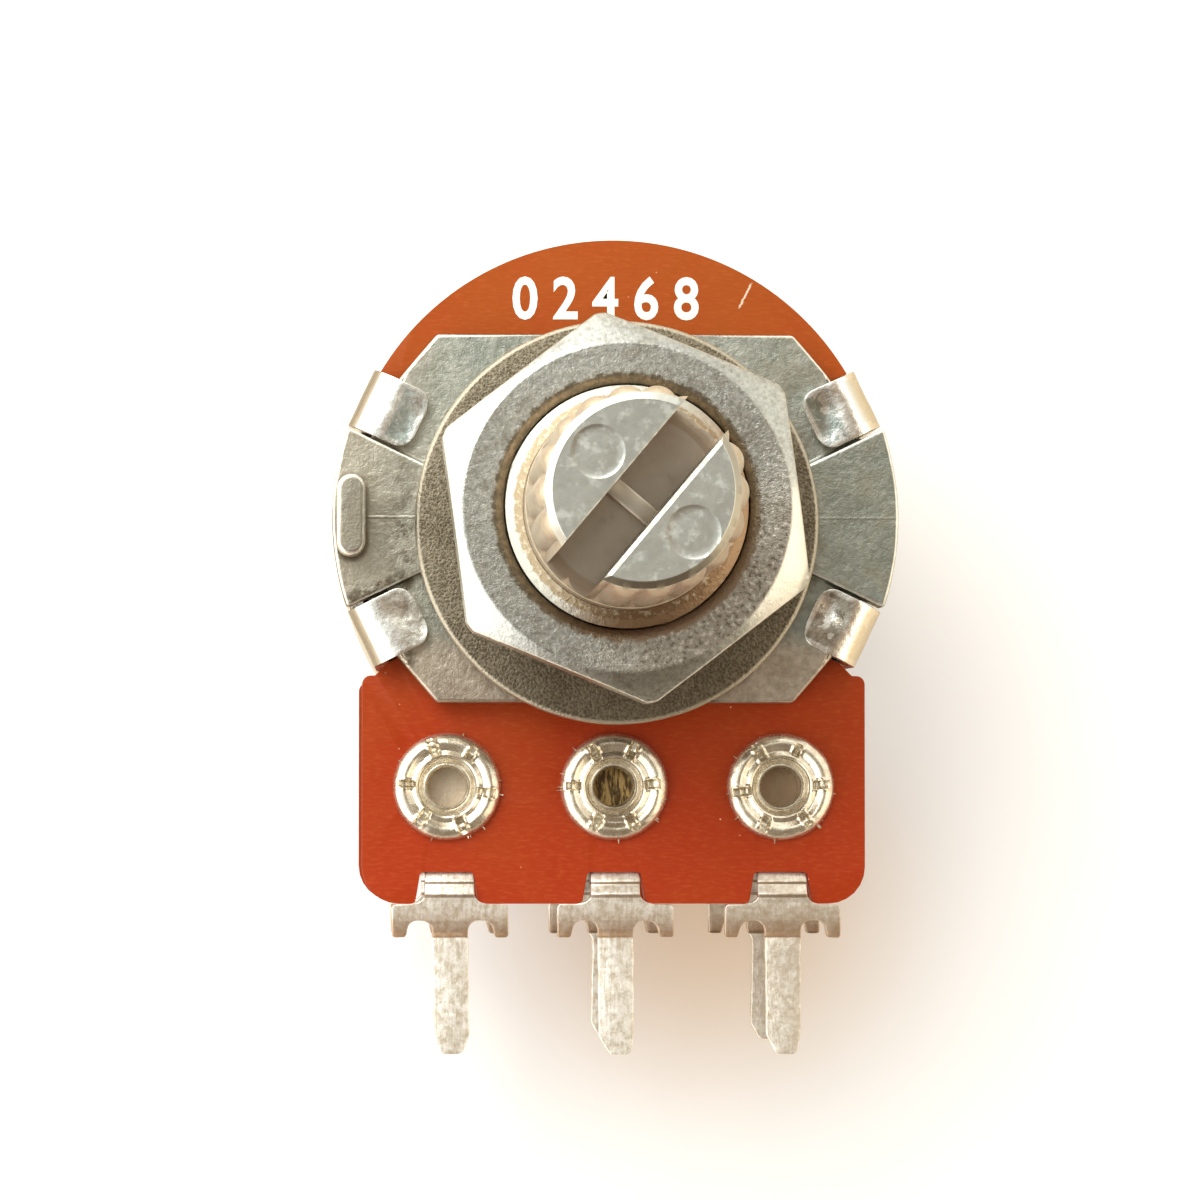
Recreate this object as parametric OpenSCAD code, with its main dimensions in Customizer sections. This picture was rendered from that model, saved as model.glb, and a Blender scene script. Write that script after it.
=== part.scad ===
// Dual-gang rotary potentiometer with a threaded bushing and a knurled, slotted shaft.
// The origin is on the shaft axis at the mounting face. +Z points along the shaft towards its tip,
// the terminals point towards -Y, and the back of the rear cover is the lowest face. Millimetres.

/* [Shaft] */
// Length of the shaft above the mounting face
shaft_length = 15; // [13:0.5:30]
// Diameter of the shaft
shaft_d = 6; // [5:0.1:7.4]
// Length of the knurled end
knurl_length = 7; // [5:0.5:8]
// Number of teeth around the knurled end
knurl_teeth = 18; // [12:1:30]
// Depth of the grooves between the teeth
knurl_depth = 0.25; // [0.1:0.05:0.4]
// Chamfer at the tip, measured along the radius
tip_chamfer = 0.4; // [0.2:0.05:0.6]
// Width of the slot across the tip
slot_width = 1.45; // [0.8:0.05:2]
// Depth of the slot below the tip
slot_depth = 6.5; // [2:0.5:8]
// Direction of the slot, turned from +X towards +Y, in degrees
slot_angle = 50; // [0:1:179]
// Width of the ridge that crosses the bottom of the slot
ridge_width = 0.55; // [0.3:0.05:1]
// Height of the ridge above the bottom of the slot
ridge_height = 0.6; // [0.3:0.1:1.2]
// Diameter of the two moulding dimples in the tip
dimple_d = 1.45; // [1:0.05:1.6]
// Depth of the moulding dimples
dimple_depth = 0.1; // [0.05:0.05:0.3]
// Diameter of the tail that carries the rotors
tail_d = 4; // [3:0.1:4.4]
// Thickness of the tail across its two flats
tail_flats = 3.1; // [2.2:0.1:3.6]

/* [Front housing] */
// Length of the threaded bushing in front of the mounting face
bushing_length = 6.5; // [5:0.25:7.5]
// Wall of the bushing, from its bore to the crest of its thread
bushing_wall = 0.47; // [0.4:0.01:1]
// Chamfer at the front of the bushing
bushing_chamfer = 0.15; // [0.05:0.05:0.3]
// Thickness of the cast plate under its raised areas
plate_thickness = 1.3; // [1.1:0.1:2.5]
// Height of the plate along Y, between its two straight edges
plate_height = 10.68; // [9.5:0.1:12.5]
// Direction of the cut corners of the plate, in degrees from X
corner_angle = 40.6; // [36:0.2:44]
// How far the two side wings stand out beyond the rear cover
wing_overhang = 0.17; // [0:0.01:0.4]
// Diameter of the raised disc under the washer
seat_disc_d = 11; // [10:0.1:11.8]
// Wall of the boss behind the plate that passes through the front wafer
boss_wall = 0.97; // [0.6:0.01:1.1]
// Width of the locating lug on the left wing
lug_width = 0.88; // [0.6:0.02:1.2]
// Length of the locating lug along Y
lug_length = 2.43; // [1.6:0.05:3]
// Height of the locating lug above the mounting face
lug_height = 1.6; // [0.5:0.1:3]
// Gap between the locating lug and the rim of the wing
lug_margin = 0.1; // [0.05:0.01:0.3]

/* [Nut and washer] */
// Width of the nut across its flats
nut_flats = 10; // [9.8:0.1:14]
// Thickness of the nut
nut_thickness = 2; // [1.5:0.1:2.5]
// Turn of the nut as it rests, in degrees
nut_angle = 7.6; // [0:0.1:60]
// How far the top of the nut lies below the front of the bushing at rest
nut_below_tip = 0.2; // [0:0.05:0.6]
// Diameter of the flat ring on top of the nut, inside its corner chamfer
nut_top_d = 9.5; // [9.3:0.1:9.8]
// Slope of the corner chamfer of the nut, in degrees
nut_chamfer_angle = 30; // [20:1:40]
// Depth of the countersink around the thread of the nut
nut_countersink = 0.35; // [0.1:0.05:0.5]
// Outer diameter of the washer
washer_d = 12; // [10.5:0.1:12.2]
// Thickness of the washer
washer_thickness = 0.7; // [0.4:0.1:1.2]

/* [Body] */
// Outer radius of the rear cover
body_r = 8.15; // [7.9:0.05:9.8]
// Depth of the body behind the mounting face
body_depth = 16.5; // [15.9:0.1:22]
// Distance from the front wafer to the rear wafer
row_pitch = 9; // [7.8:0.1:9.5]
// Sheet thickness of the rear cover and its straps
cover_wall = 0.45; // [0.3:0.05:0.55]
// Outer radius of the edge around the back of the cover
cover_edge_r = 0.8; // [0.6:0.05:1.2]
// Wall of the ring between the two wafers
ring_wall = 0.8; // [0.5:0.05:0.9]
// Width of the four straps
strap_width = 1.84; // [1.4:0.02:2.2]
// Direction of each strap from the X axis, in degrees
strap_angle = 25.5; // [24:0.5:27]
// Reach of each folded tab, from the outside of its strap inwards
tab_reach = 1.94; // [1.5:0.02:2]
// Outer radius of the fold between a strap and its tab
fold_r = 0.95; // [0.6:0.05:1.1]

/* [Wafers] */
// Thickness of each wafer
wafer_thickness = 0.8; // [0.6:0.05:1.2]
// How far the round head of the wafer lies above the shaft axis
head_rise = 0.25; // [0:0.05:0.4]
// Width of the apron that carries the terminals
apron_width = 15.07; // [14:0.05:18]
// Distance from the shaft axis to the lower edge of the apron
apron_length = 11.5; // [10.6:0.1:15]
// Distance from the shaft axis to the shoulders of the apron
shoulder_drop = 4.68; // [4.6:0.02:5.2]
// Radius of the lower corners of the apron
apron_corner_r = 1.1; // [0.5:0.05:1.3]
// Width of the notch over each terminal, at its top
notch_width = 1.55; // [1.3:0.05:2]
// How much wider the notch is at the edge of the apron
notch_flare = 0.25; // [0:0.05:0.5]
// Depth of each notch
notch_depth = 0.95; // [0.8:0.05:1.2]

/* [Terminals and eyelets] */
// Distance between neighbouring terminals
terminal_pitch = 5; // [4.2:0.1:5.8]
// Distance from the shaft axis down to the eyelets
eyelet_drop = 8; // [7.9:0.05:9.2]
// Sheet thickness of the terminals
terminal_thickness = 0.4; // [0.25:0.05:0.5]
// How far each terminal steps forward inside its notch
terminal_step = 0.6; // [0.3:0.05:0.8]
// Width across the two feet of a terminal
feet_width = 3.3; // [2.9:0.05:3.8]
// Height of the feet below the wafer
feet_height = 1; // [0.8:0.05:1.4]
// Width of each pin
pin_width = 1.05; // [0.8:0.05:1.2]
// Length of each pin below the feet
pin_length = 3.48; // [2:0.02:6]
// Outer diameter of the rolled ring of an eyelet
roll_d = 3.15; // [2.8:0.05:3.4]
// Height of the rolled ring
roll_height = 0.45; // [0.3:0.05:0.55]
// Diameter of the hole through an eyelet
eyelet_hole_d = 1.35; // [1.1:0.05:1.5]
// Wall of the barrel of an eyelet
eyelet_wall = 0.25; // [0.15:0.05:0.3]
// Number of slits that split the rolled ring into petals
eyelet_slits = 6; // [4:1:8]

/* [Rotors] */
// Thickness of each rotor disc
rotor_thickness = 2; // [1.5:0.1:2.2]
// Width of the stop lug on the front rotor, in degrees
rotor_stop_angle = 24; // [18:1:28]
// Turn of the shaft from one stop to the other, in degrees
travel_angle = 300; // [270:1:304]
// Sheet thickness of the wiper springs
wiper_thickness = 0.2; // [0.1:0.05:0.25]

/* [Hidden] */
$fn = 96;

// Clearances of the fits
shaft_clearance = 0.03;     // shaft in the bushing, on the radius
thread_clearance = 0.03;    // nut on the bushing, on the radius
washer_slack = 0.2;         // washer around the bushing, on the radius
boss_clearance = 0.05;      // boss in the front wafer, on the radius
key_clearance = 0.02;       // rotor on the flats of the tail
clip_clearance = 0.05;      // clip in its groove, each way
barrel_clearance = 0.02;    // eyelet barrel in the wafer, on the radius
strap_clearance = 0.06;     // strap beside the plate and wafers
ring_clearance = 0.19;      // ring inside the straps
channel_clearance = 0.23;   // strap in its channel of the plate, each side
sheet_clearance = 0.02;     // terminal against the lower edge of the wafer
strip_clearance = 0.04;     // terminal in its notch, each side
running_gap = 0.15;         // turning pieces beside the housing
wiper_gap = 0.03;           // wiper tip in front of the printed track
cut = 0.1;                  // how far a cutting shape runs past the face it cuts
wide = 4 * body_r;          // side of a shape that is cut down to the body

// Shaft, bushing and fits around them
shaft_r = shaft_d / 2;
bore_r = shaft_r + shaft_clearance;
thread_r = bore_r + bushing_wall;
boss_r = bore_r + boss_wall;
raised = cover_wall;
boss_end = plate_thickness + wafer_thickness + 0.5;
clip_thickness = 0.5;
clip_r = boss_r - 0.1;
groove_r = shaft_r - 0.5;
groove_top = boss_end;
groove_end = groove_top + clip_thickness + 2 * clip_clearance;
collar_end = groove_end + 0.4;
tail_r = tail_d / 2;
tail_end = body_depth - cover_wall - running_gap;
knurl_start = shaft_length - knurl_length;
crest_r = shaft_r - 0.01;
dimple_place = (slot_width / 2 + shaft_r - tip_chamfer - 0.1) / 2;

// Nut and washer
nut_top = bushing_length - nut_below_tip;
nut_bore_r = thread_r + thread_clearance;
nut_corner_r = 0.985 * nut_flats / 2 / cos(30);
washer_bore_r = thread_r + washer_slack;
washer_shift = washer_slack - 0.03;

// Straps, plate and ring
strap_face_r = body_r - 0.02;
strap_root = 0.5;
seat_r = strap_face_r - cover_wall - strap_clearance;
channel_half = strap_width / 2 + channel_clearance;
wing_r = body_r + wing_overhang;
wing_apex = channel_half / sin(strap_angle);
lug_x = -(wing_r - lug_margin - lug_width / 2);
ring_r = body_r - cover_wall - ring_clearance;
ring_bore_r = ring_r - ring_wall;

// Rows of terminals, measured from the mounting face
wafer_seat = plate_thickness;
wafer_back = wafer_seat + wafer_thickness;
ring_length = row_pitch - wafer_thickness;
cover_front = wafer_back + row_pitch;
barrel_r = eyelet_hole_d / 2 + eyelet_wall;
eyelet_seat_r = barrel_r + barrel_clearance;
flange_r = roll_d / 2 - 0.1;
flange_thickness = 0.2;
pad_r = flange_r;
pocket_r = roll_d / 2 + 0.15;
pocket_depth = terminal_thickness + flange_thickness + 0.15;
strip_width = notch_width - 2 * strip_clearance;
notch_top = apron_length - notch_depth;
feet_top = apron_length + sheet_clearance;
feet_end = feet_top + feet_height;
pin_end = feet_end + pin_length;
foot_arch_r = 0.34;
slit_width = 0.13;
petal_depth = 0.3;
cover_flat = eyelet_drop - pad_r - 0.3;

// Rotors, stops and wipers
rotor_r = min(cover_flat - cover_wall, ring_bore_r - 0.8) - running_gap;
rotor_drop = 1.5;
hub_r = 3.4;
hub_length = 0.8;
stop_r = ring_bore_r - running_gap;
stop_clearance = 1;
housing_stop_angle = 360 - travel_angle - rotor_stop_angle - 2 * stop_clearance;
wiper_bore_r = boss_r + 0.15;
wiper_rim_r = rotor_r - 0.1;
finger_width = 0.6;
finger_rise = rotor_drop - wiper_gap;
finger_run = 1.2 * finger_rise;
finger_limit_r = wiper_rim_r - 0.1;
finger_reach = sqrt(finger_limit_r * finger_limit_r - finger_run * finger_run);

// Drawn shapes used by several sub-parts

module sector(radius, angle) {
    far = 2 * radius;
    intersection() {
        circle(r = radius);
        polygon([[0, 0], [far, -far * tan(angle / 2)], [far, far * tan(angle / 2)]]);
    }
}

module obround(width, length) {
    square([width, length - width], center = true);
    for (side = [-1, 1])
        translate([0, side * (length - width) / 2])
            circle(d = width);
}

module at_straps() {
    for (turn = [strap_angle, -strap_angle, 180 - strap_angle, 180 + strap_angle])
        rotate(turn)
            children();
}

// Front housing: plate, bushing, boss and locating lug, cast in one piece

module wings() {
    far_x = wing_apex + wide * cos(strap_angle);
    far_y = wide * sin(strap_angle);
    intersection() {
        circle(r = wing_r);
        for (side = [-1, 1])
            polygon([[side * wing_apex, 0], [side * far_x, far_y], [side * far_x, -far_y]]);
    }
}

module plate_outline() {
    intersection() {
        square([wide, plate_height], center = true);
        rotate(strap_angle) square([2 * seat_r, wide], center = true);
        rotate(-strap_angle) square([2 * seat_r, wide], center = true);
        rotate(corner_angle) square([2 * seat_r, wide], center = true);
        rotate(-corner_angle) square([2 * seat_r, wide], center = true);
    }
    wings();
}

module fold_relief() {
    inner_r = fold_r - raised;
    centre_x = seat_r - inner_r;
    arc = [for (turn = [90 : -15 : 0]) [centre_x + inner_r * cos(turn), inner_r * sin(turn) - fold_r]];
    rotate([90, 0, 0])
        translate([0, 0, -channel_half])
            linear_extrude(2 * channel_half)
                polygon(concat(
                    [[seat_r + cut, -fold_r], [seat_r + cut, cut - raised], [centre_x, cut - raised]],
                    arc
                ));
}

module front_housing() {
    color("#9aa3a3")
    difference() {
        union() {
            translate([0, 0, -plate_thickness])
                linear_extrude(plate_thickness - raised)
                    plate_outline();
            translate([0, 0, -plate_thickness])
                linear_extrude(plate_thickness) {
                    circle(d = seat_disc_d);
                    wings();
                }
            translate([0, 0, -boss_end])
                cylinder(r = boss_r, h = boss_end);
            cylinder(r = thread_r, h = bushing_length - bushing_chamfer);
            translate([0, 0, bushing_length - bushing_chamfer])
                cylinder(r1 = thread_r, r2 = thread_r - bushing_chamfer, h = bushing_chamfer);
            translate([lug_x, 0, -raised])
                linear_extrude(lug_height + raised)
                    obround(lug_width, lug_length);
        }
        translate([0, 0, -boss_end - cut])
            cylinder(r = bore_r, h = boss_end + bushing_length + 2 * cut);
        at_straps()
            fold_relief();
    }
}

// Fasteners on the bushing

module hex_nut() {
    chamfer_rise = (nut_corner_r - nut_top_d / 2) * tan(nut_chamfer_angle);
    color("#b9bab2")
    translate([0, 0, nut_top - nut_thickness])
    difference() {
        intersection() {
            rotate(90 + nut_angle)
                cylinder(r = nut_flats / 2 / cos(30), h = nut_thickness, $fn = 6);
            union() {
                cylinder(r = nut_corner_r, h = nut_thickness - chamfer_rise);
                translate([0, 0, nut_thickness - chamfer_rise])
                    cylinder(r1 = nut_corner_r, r2 = nut_top_d / 2, h = chamfer_rise);
            }
        }
        translate([0, 0, -cut])
            cylinder(r = nut_bore_r, h = nut_thickness + 2 * cut);
        translate([0, 0, nut_thickness - nut_countersink])
            cylinder(r1 = nut_bore_r, r2 = nut_bore_r + nut_countersink, h = nut_countersink);
    }
}

module washer() {
    color("#7d786c")
    translate([0, -washer_shift, 0])
    difference() {
        cylinder(d = washer_d, h = washer_thickness);
        translate([0, 0, -cut])
            cylinder(r = washer_bore_r, h = washer_thickness + 2 * cut);
    }
}

// One row: a wafer with its eyelets and terminals, drawn for the front row

module wafer_notch() {
    top = notch_width / 2;
    mouth = top + notch_flare / 2;
    low = -(apron_length + cut);
    polygon([[-top, -notch_top], [top, -notch_top], [mouth, low], [-mouth, low]]);
}

module apron() {
    inner_x = apron_width / 2 - apron_corner_r;
    low = apron_length - apron_corner_r;
    translate([-apron_width / 2, -low])
        square([apron_width, low - shoulder_drop]);
    translate([-inner_x, -apron_length])
        square([2 * inner_x, apron_corner_r]);
    for (side = [-1, 1])
        translate([side * inner_x, -low])
            circle(r = apron_corner_r);
}

module wafer() {
    strap_half = strap_width / 2 + 2 * strap_clearance;
    translate([0, 0, -wafer_back])
    linear_extrude(wafer_thickness)
    difference() {
        union() {
            intersection() {
                translate([0, head_rise])
                    circle(r = body_r);
                translate([-wide / 2, -shoulder_drop - cut])
                    square([wide, wide]);
            }
            apron();
        }
        circle(r = boss_r + boss_clearance);
        at_straps()
            translate([seat_r, -strap_half])
                square([0.95, 2 * strap_half]);
        for (place = [-1, 0, 1])
            translate([place * terminal_pitch, 0]) {
                translate([0, -eyelet_drop])
                    circle(r = eyelet_seat_r);
                wafer_notch();
            }
    }
}

module eyelet(place) {
    roll_r = roll_height / 2;
    inner = eyelet_hole_d / 2;
    back = wafer_thickness + terminal_thickness;
    color("#c9c7ba")
    translate([place * terminal_pitch, -eyelet_drop, -wafer_seat])
    difference() {
        rotate_extrude() {
            translate([inner + roll_r, 0])
                square([roll_d / 2 - inner - 2 * roll_r, roll_height]);
            for (x = [inner + roll_r, roll_d / 2 - roll_r])
                translate([x, roll_r])
                    circle(r = roll_r);
            translate([inner, -back - flange_thickness])
                square([eyelet_wall, back + flange_thickness + roll_r]);
            translate([inner, -back - flange_thickness])
                square([flange_r - inner, flange_thickness]);
        }
        for (slit = [0 : eyelet_slits - 1])
            rotate(slit * 360 / eyelet_slits)
                translate([inner + roll_r, -slit_width / 2, roll_height - petal_depth])
                    cube([roll_d, slit_width, roll_height]);
    }
}

module terminal_strip() {
    start = notch_top + strap_clearance;
    run = 0.58 * terminal_step;
    bend = 0.4 * terminal_thickness;
    polygon([
        [-eyelet_drop, 0],
        [-start, 0],
        [-start - run, terminal_step],
        [-feet_top - cut, terminal_step],
        [-feet_top - cut, terminal_step - terminal_thickness],
        [-start - run + bend, terminal_step - terminal_thickness],
        [-start + bend, -terminal_thickness],
        [-eyelet_drop, -terminal_thickness]
    ]);
}

module terminal_face() {
    arch_x = pin_width / 2 + foot_arch_r;
    arch_y = feet_end - foot_arch_r / 2;
    difference() {
        translate([-feet_width / 2, -feet_end])
            square([feet_width, feet_height]);
        for (side = [-1, 1])
            translate([side * arch_x, -arch_y]) {
                circle(r = foot_arch_r);
                translate([-foot_arch_r, -foot_arch_r])
                    square([2 * foot_arch_r, foot_arch_r]);
            }
    }
    translate([-pin_width / 2, -pin_end + pin_width / 2])
        square([pin_width, pin_end - pin_width / 2 - feet_top]);
    translate([0, -pin_end + pin_width / 2])
        circle(d = pin_width);
}

module terminal(place) {
    color("#cfccc0")
    translate([place * terminal_pitch, 0, -wafer_back])
    difference() {
        union() {
            translate([0, -eyelet_drop, -terminal_thickness])
                cylinder(r = pad_r, h = terminal_thickness);
            rotate([90, 0, 90])
                translate([0, 0, -strip_width / 2])
                    linear_extrude(strip_width)
                        terminal_strip();
            translate([0, 0, terminal_step - terminal_thickness])
                linear_extrude(terminal_thickness)
                    terminal_face();
        }
        translate([0, -eyelet_drop, -terminal_thickness - cut])
            cylinder(r = eyelet_seat_r, h = terminal_thickness + 2 * cut);
    }
}

module front_wafer() color("#b5501f") wafer();
module front_eyelet_left() eyelet(-1);
module front_eyelet_middle() eyelet(0);
module front_eyelet_right() eyelet(1);
module front_terminal_left() terminal(-1);
module front_terminal_middle() terminal(0);
module front_terminal_right() terminal(1);

module in_rear_row() translate([0, 0, -row_pitch]) children();

module rear_wafer() color("#a8481b") in_rear_row() wafer();
module rear_eyelet_left() in_rear_row() eyelet(-1);
module rear_eyelet_middle() in_rear_row() eyelet(0);
module rear_eyelet_right() in_rear_row() eyelet(1);
module rear_terminal_left() in_rear_row() terminal(-1);
module rear_terminal_middle() in_rear_row() terminal(0);
module rear_terminal_right() in_rear_row() terminal(1);

// Housing behind the wafers

module middle_housing() {
    ring_back = wafer_back + ring_length;
    disc_top = wafer_back + rotor_drop;
    roll_pocket = roll_height + 0.15;
    color("#3a3c3e")
    difference() {
        union() {
            translate([0, 0, -ring_back])
                linear_extrude(ring_length)
                    difference() {
                        circle(r = ring_r);
                        circle(r = ring_bore_r);
                    }
            translate([0, 0, -disc_top - rotor_thickness])
                rotate(-90)
                    linear_extrude(rotor_thickness)
                        difference() {
                            sector(ring_bore_r + ring_wall / 2, housing_stop_angle);
                            circle(r = rotor_r + running_gap);
                        }
        }
        for (place = [-1, 0, 1])
            translate([place * terminal_pitch, -eyelet_drop, 0]) {
                translate([0, 0, -wafer_back - pocket_depth])
                    cylinder(r = pocket_r, h = pocket_depth + cut);
                translate([0, 0, -ring_back - cut])
                    cylinder(r = pocket_r, h = roll_pocket + cut);
            }
    }
}

module cover_body(radius, edge, flat, depth) {
    intersection() {
        translate([0, 0, -depth])
            rotate_extrude() {
                square([radius - edge, edge]);
                translate([0, edge])
                    square([radius, depth - cover_front - edge]);
                intersection() {
                    translate([radius - edge, edge])
                        circle(r = edge);
                    square([radius, edge]);
                }
            }
        translate([-wide / 2, -flat, -depth - cut])
            cube([wide, wide, depth]);
    }
}

module strap_side() {
    root = -cover_front - strap_root;
    inner_x = strap_face_r - cover_wall;
    fold_x = strap_face_r - fold_r;
    translate([inner_x, root])
        square([cover_wall, -fold_r - root]);
    translate([strap_face_r - tab_reach, -cover_wall])
        square([tab_reach - fold_r, cover_wall]);
    translate([fold_x, -fold_r])
        intersection() {
            difference() {
                circle(r = fold_r);
                circle(r = fold_r - cover_wall);
            }
            square([fold_r, fold_r]);
        }
}

module strap_face() {
    corner_r = strap_width / 4;
    tip_x = strap_face_r - tab_reach;
    translate([tip_x + corner_r, -strap_width / 2])
        square([tab_reach, strap_width]);
    translate([tip_x, -strap_width / 4])
        square([tab_reach, strap_width / 2]);
    for (side = [-1, 1])
        translate([tip_x + corner_r, side * strap_width / 4])
            circle(r = corner_r);
}

module strap() {
    intersection() {
        rotate([90, 0, 0])
            translate([0, 0, -strap_width / 2])
                linear_extrude(strap_width)
                    strap_side();
        translate([0, 0, -cover_front - strap_root])
            linear_extrude(cover_front + strap_root + cut)
                strap_face();
    }
}

module rear_cover() {
    color("#b4b5ae") {
        difference() {
            cover_body(body_r, cover_edge_r, cover_flat, body_depth);
            translate([0, 0, cut])
                cover_body(
                    body_r - cover_wall,
                    cover_edge_r - cover_wall,
                    cover_flat - cover_wall,
                    body_depth - cover_wall + cut
                );
        }
        at_straps()
            strap();
    }
}

// Pieces that turn together

function knurl_point(i) =
    let (
        tooth = floor(i / 4),
        step = i % 4,
        share = [-0.32, -0.12, 0.12, 0.32][step],
        r = step == 0 || step == 3 ? crest_r - knurl_depth : crest_r,
        turn = (tooth + share) * 360 / knurl_teeth
    )
    [r * cos(turn), r * sin(turn)];

module knurled_end() {
    chamfer_rise = 2 * tip_chamfer;
    rim_r = shaft_r + cut;
    tip_r = shaft_r - tip_chamfer;
    intersection() {
        translate([0, 0, knurl_start - cut])
            linear_extrude(knurl_length + cut)
                polygon([for (i = [0 : 4 * knurl_teeth - 1]) knurl_point(i)]);
        rotate_extrude()
            polygon([
                [0, 0],
                [rim_r, 0],
                [rim_r, shaft_length - chamfer_rise - 2 * cut],
                [tip_r, shaft_length],
                [0, shaft_length]
            ]);
    }
}

module tail_profile(clearance) {
    intersection() {
        circle(r = tail_r + clearance);
        square([2 * tail_d, tail_flats + 2 * clearance], center = true);
    }
}

module shaft() {
    slot_bottom = shaft_length - slot_depth;
    color("#a79b8a") {
        difference() {
            union() {
                translate([0, 0, -collar_end])
                    cylinder(r = shaft_r, h = collar_end + knurl_start);
                knurled_end();
                translate([0, 0, -tail_end])
                    rotate(slot_angle)
                        linear_extrude(tail_end - collar_end + cut)
                            tail_profile(0);
            }
            translate([0, 0, -groove_end])
                difference() {
                    cylinder(r = shaft_r + cut, h = groove_end - groove_top);
                    cylinder(r = groove_r, h = groove_end - groove_top);
                }
            rotate(slot_angle) {
                translate([-shaft_d, -slot_width / 2, slot_bottom])
                    cube([2 * shaft_d, slot_width, slot_depth + cut]);
                for (side = [-1, 1])
                    translate([0, side * dimple_place, shaft_length - dimple_depth])
                        cylinder(d = dimple_d, h = dimple_depth + cut);
            }
        }
        rotate(slot_angle)
            translate([-ridge_width / 2, -slot_width / 2 - cut, slot_bottom - cut])
                cube([ridge_width, slot_width + 2 * cut, ridge_height + cut]);
    }
}

module retaining_clip() {
    mouth = 1.5 * groove_r;
    color("#8f8f8a")
    translate([0, 0, -groove_top - clip_clearance - clip_thickness])
    rotate(slot_angle)
    linear_extrude(clip_thickness)
        difference() {
            circle(r = clip_r);
            circle(r = groove_r + clip_clearance);
            translate([0, -mouth / 2])
                square([2 * clip_r, mouth]);
        }
}

module rotor(row, has_stop) {
    front = wafer_back + rotor_drop + row * row_pitch;
    back = front + rotor_thickness;
    translate([0, 0, -back - hub_length])
    rotate(slot_angle)
        difference() {
            union() {
                cylinder(r = hub_r, h = hub_length + rotor_thickness);
                translate([0, 0, hub_length])
                    cylinder(r = rotor_r, h = rotor_thickness);
                if (has_stop)
                    translate([0, 0, hub_length])
                        rotate(180)
                            linear_extrude(rotor_thickness)
                                sector(stop_r, rotor_stop_angle);
            }
            translate([0, 0, -cut])
                linear_extrude(hub_length + rotor_thickness + 2 * cut)
                    tail_profile(key_clearance);
            translate([0, 0, hub_length + rotor_thickness - running_gap])
                cylinder(r = shaft_r + running_gap, h = running_gap + cut);
        }
}

module finger() {
    run = finger_run;
    sheet = wiper_thickness;
    rotate([90, 0, 0])
        translate([0, 0, -finger_width / 2])
            linear_extrude(finger_width)
                polygon([
                    [-run, 0],
                    [-run + 1.5 * sheet, 0],
                    [0, finger_rise - 1.2 * sheet],
                    [0.6, finger_rise - 2.2 * sheet],
                    [0.7, finger_rise - 1.2 * sheet],
                    [0.1, finger_rise],
                    [-0.1, finger_rise],
                    [-run, sheet]
                ]);
}

module wiper(row) {
    face = wafer_back + rotor_drop + row * row_pitch;
    color("#c08a4a")
    translate([0, 0, -face])
    rotate(slot_angle) {
        linear_extrude(wiper_thickness)
            difference() {
                circle(r = wiper_rim_r);
                circle(r = wiper_bore_r);
            }
        translate([0, wiper_bore_r + finger_width / 2, 0])
            finger();
        rotate(180)
            translate([0, finger_reach - finger_width / 2, 0])
                finger();
    }
}

module front_rotor() color("#2e2f31") rotor(0, true);
module rear_rotor() color("#2e2f31") rotor(1, false);
module front_wiper() wiper(0);
module rear_wiper() wiper(1);

front_housing();
hex_nut();
washer();
front_wafer();
front_eyelet_left();
front_eyelet_middle();
front_eyelet_right();
front_terminal_left();
front_terminal_middle();
front_terminal_right();
middle_housing();
rear_wafer();
rear_eyelet_left();
rear_eyelet_middle();
rear_eyelet_right();
rear_terminal_left();
rear_terminal_middle();
rear_terminal_right();
rear_cover();
shaft();
retaining_clip();
front_rotor();
front_wiper();
rear_rotor();
rear_wiper();
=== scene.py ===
import math
import random

import bmesh
import bpy
from mathutils import Matrix, Vector, noise


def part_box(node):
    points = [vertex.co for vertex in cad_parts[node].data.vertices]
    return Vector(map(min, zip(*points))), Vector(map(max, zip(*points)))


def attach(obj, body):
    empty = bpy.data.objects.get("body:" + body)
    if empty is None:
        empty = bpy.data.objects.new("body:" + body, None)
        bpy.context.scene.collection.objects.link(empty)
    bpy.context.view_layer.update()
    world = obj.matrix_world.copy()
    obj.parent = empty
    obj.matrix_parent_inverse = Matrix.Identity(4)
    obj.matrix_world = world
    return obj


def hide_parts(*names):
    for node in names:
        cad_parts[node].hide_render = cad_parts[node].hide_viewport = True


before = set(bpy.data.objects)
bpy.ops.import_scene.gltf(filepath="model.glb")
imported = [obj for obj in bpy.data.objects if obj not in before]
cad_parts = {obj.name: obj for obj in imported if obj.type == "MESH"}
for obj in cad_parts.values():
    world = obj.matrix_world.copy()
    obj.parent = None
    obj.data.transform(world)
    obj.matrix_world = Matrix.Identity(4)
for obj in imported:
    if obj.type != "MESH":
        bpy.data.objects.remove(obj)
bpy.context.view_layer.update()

MM = 0.001
FULL_TURN = 2 * math.pi

# without a seed the noise starts somewhere else on every run
noise.seed_set(1)


def mm_box(node):
    """The lowest and highest corner of a CAD node, in millimetres."""
    low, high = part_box(node)
    return Vector(low) / MM, Vector(high) / MM


def direction(degrees):
    return Vector((math.cos(math.radians(degrees)), math.sin(math.radians(degrees)), 0))


def turned(degrees):
    return Matrix.Rotation(math.radians(degrees), 4, "Z")


def clamped(share):
    return min(1, max(0, share))


def placed(name, data):
    """A new object in the scene."""
    thing = bpy.data.objects.new(name, data)
    bpy.context.scene.collection.objects.link(thing)
    return thing


def shape_of(thing):
    """A copy of an object's finished shape."""
    mesh = bpy.data.meshes.new_from_object(thing.evaluated_get(bpy.context.evaluated_depsgraph_get()))
    bm = bmesh.new()
    bm.from_mesh(mesh)
    bpy.data.meshes.remove(mesh)
    return bm


# ---------------------------------------------------------------- shapes

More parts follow.
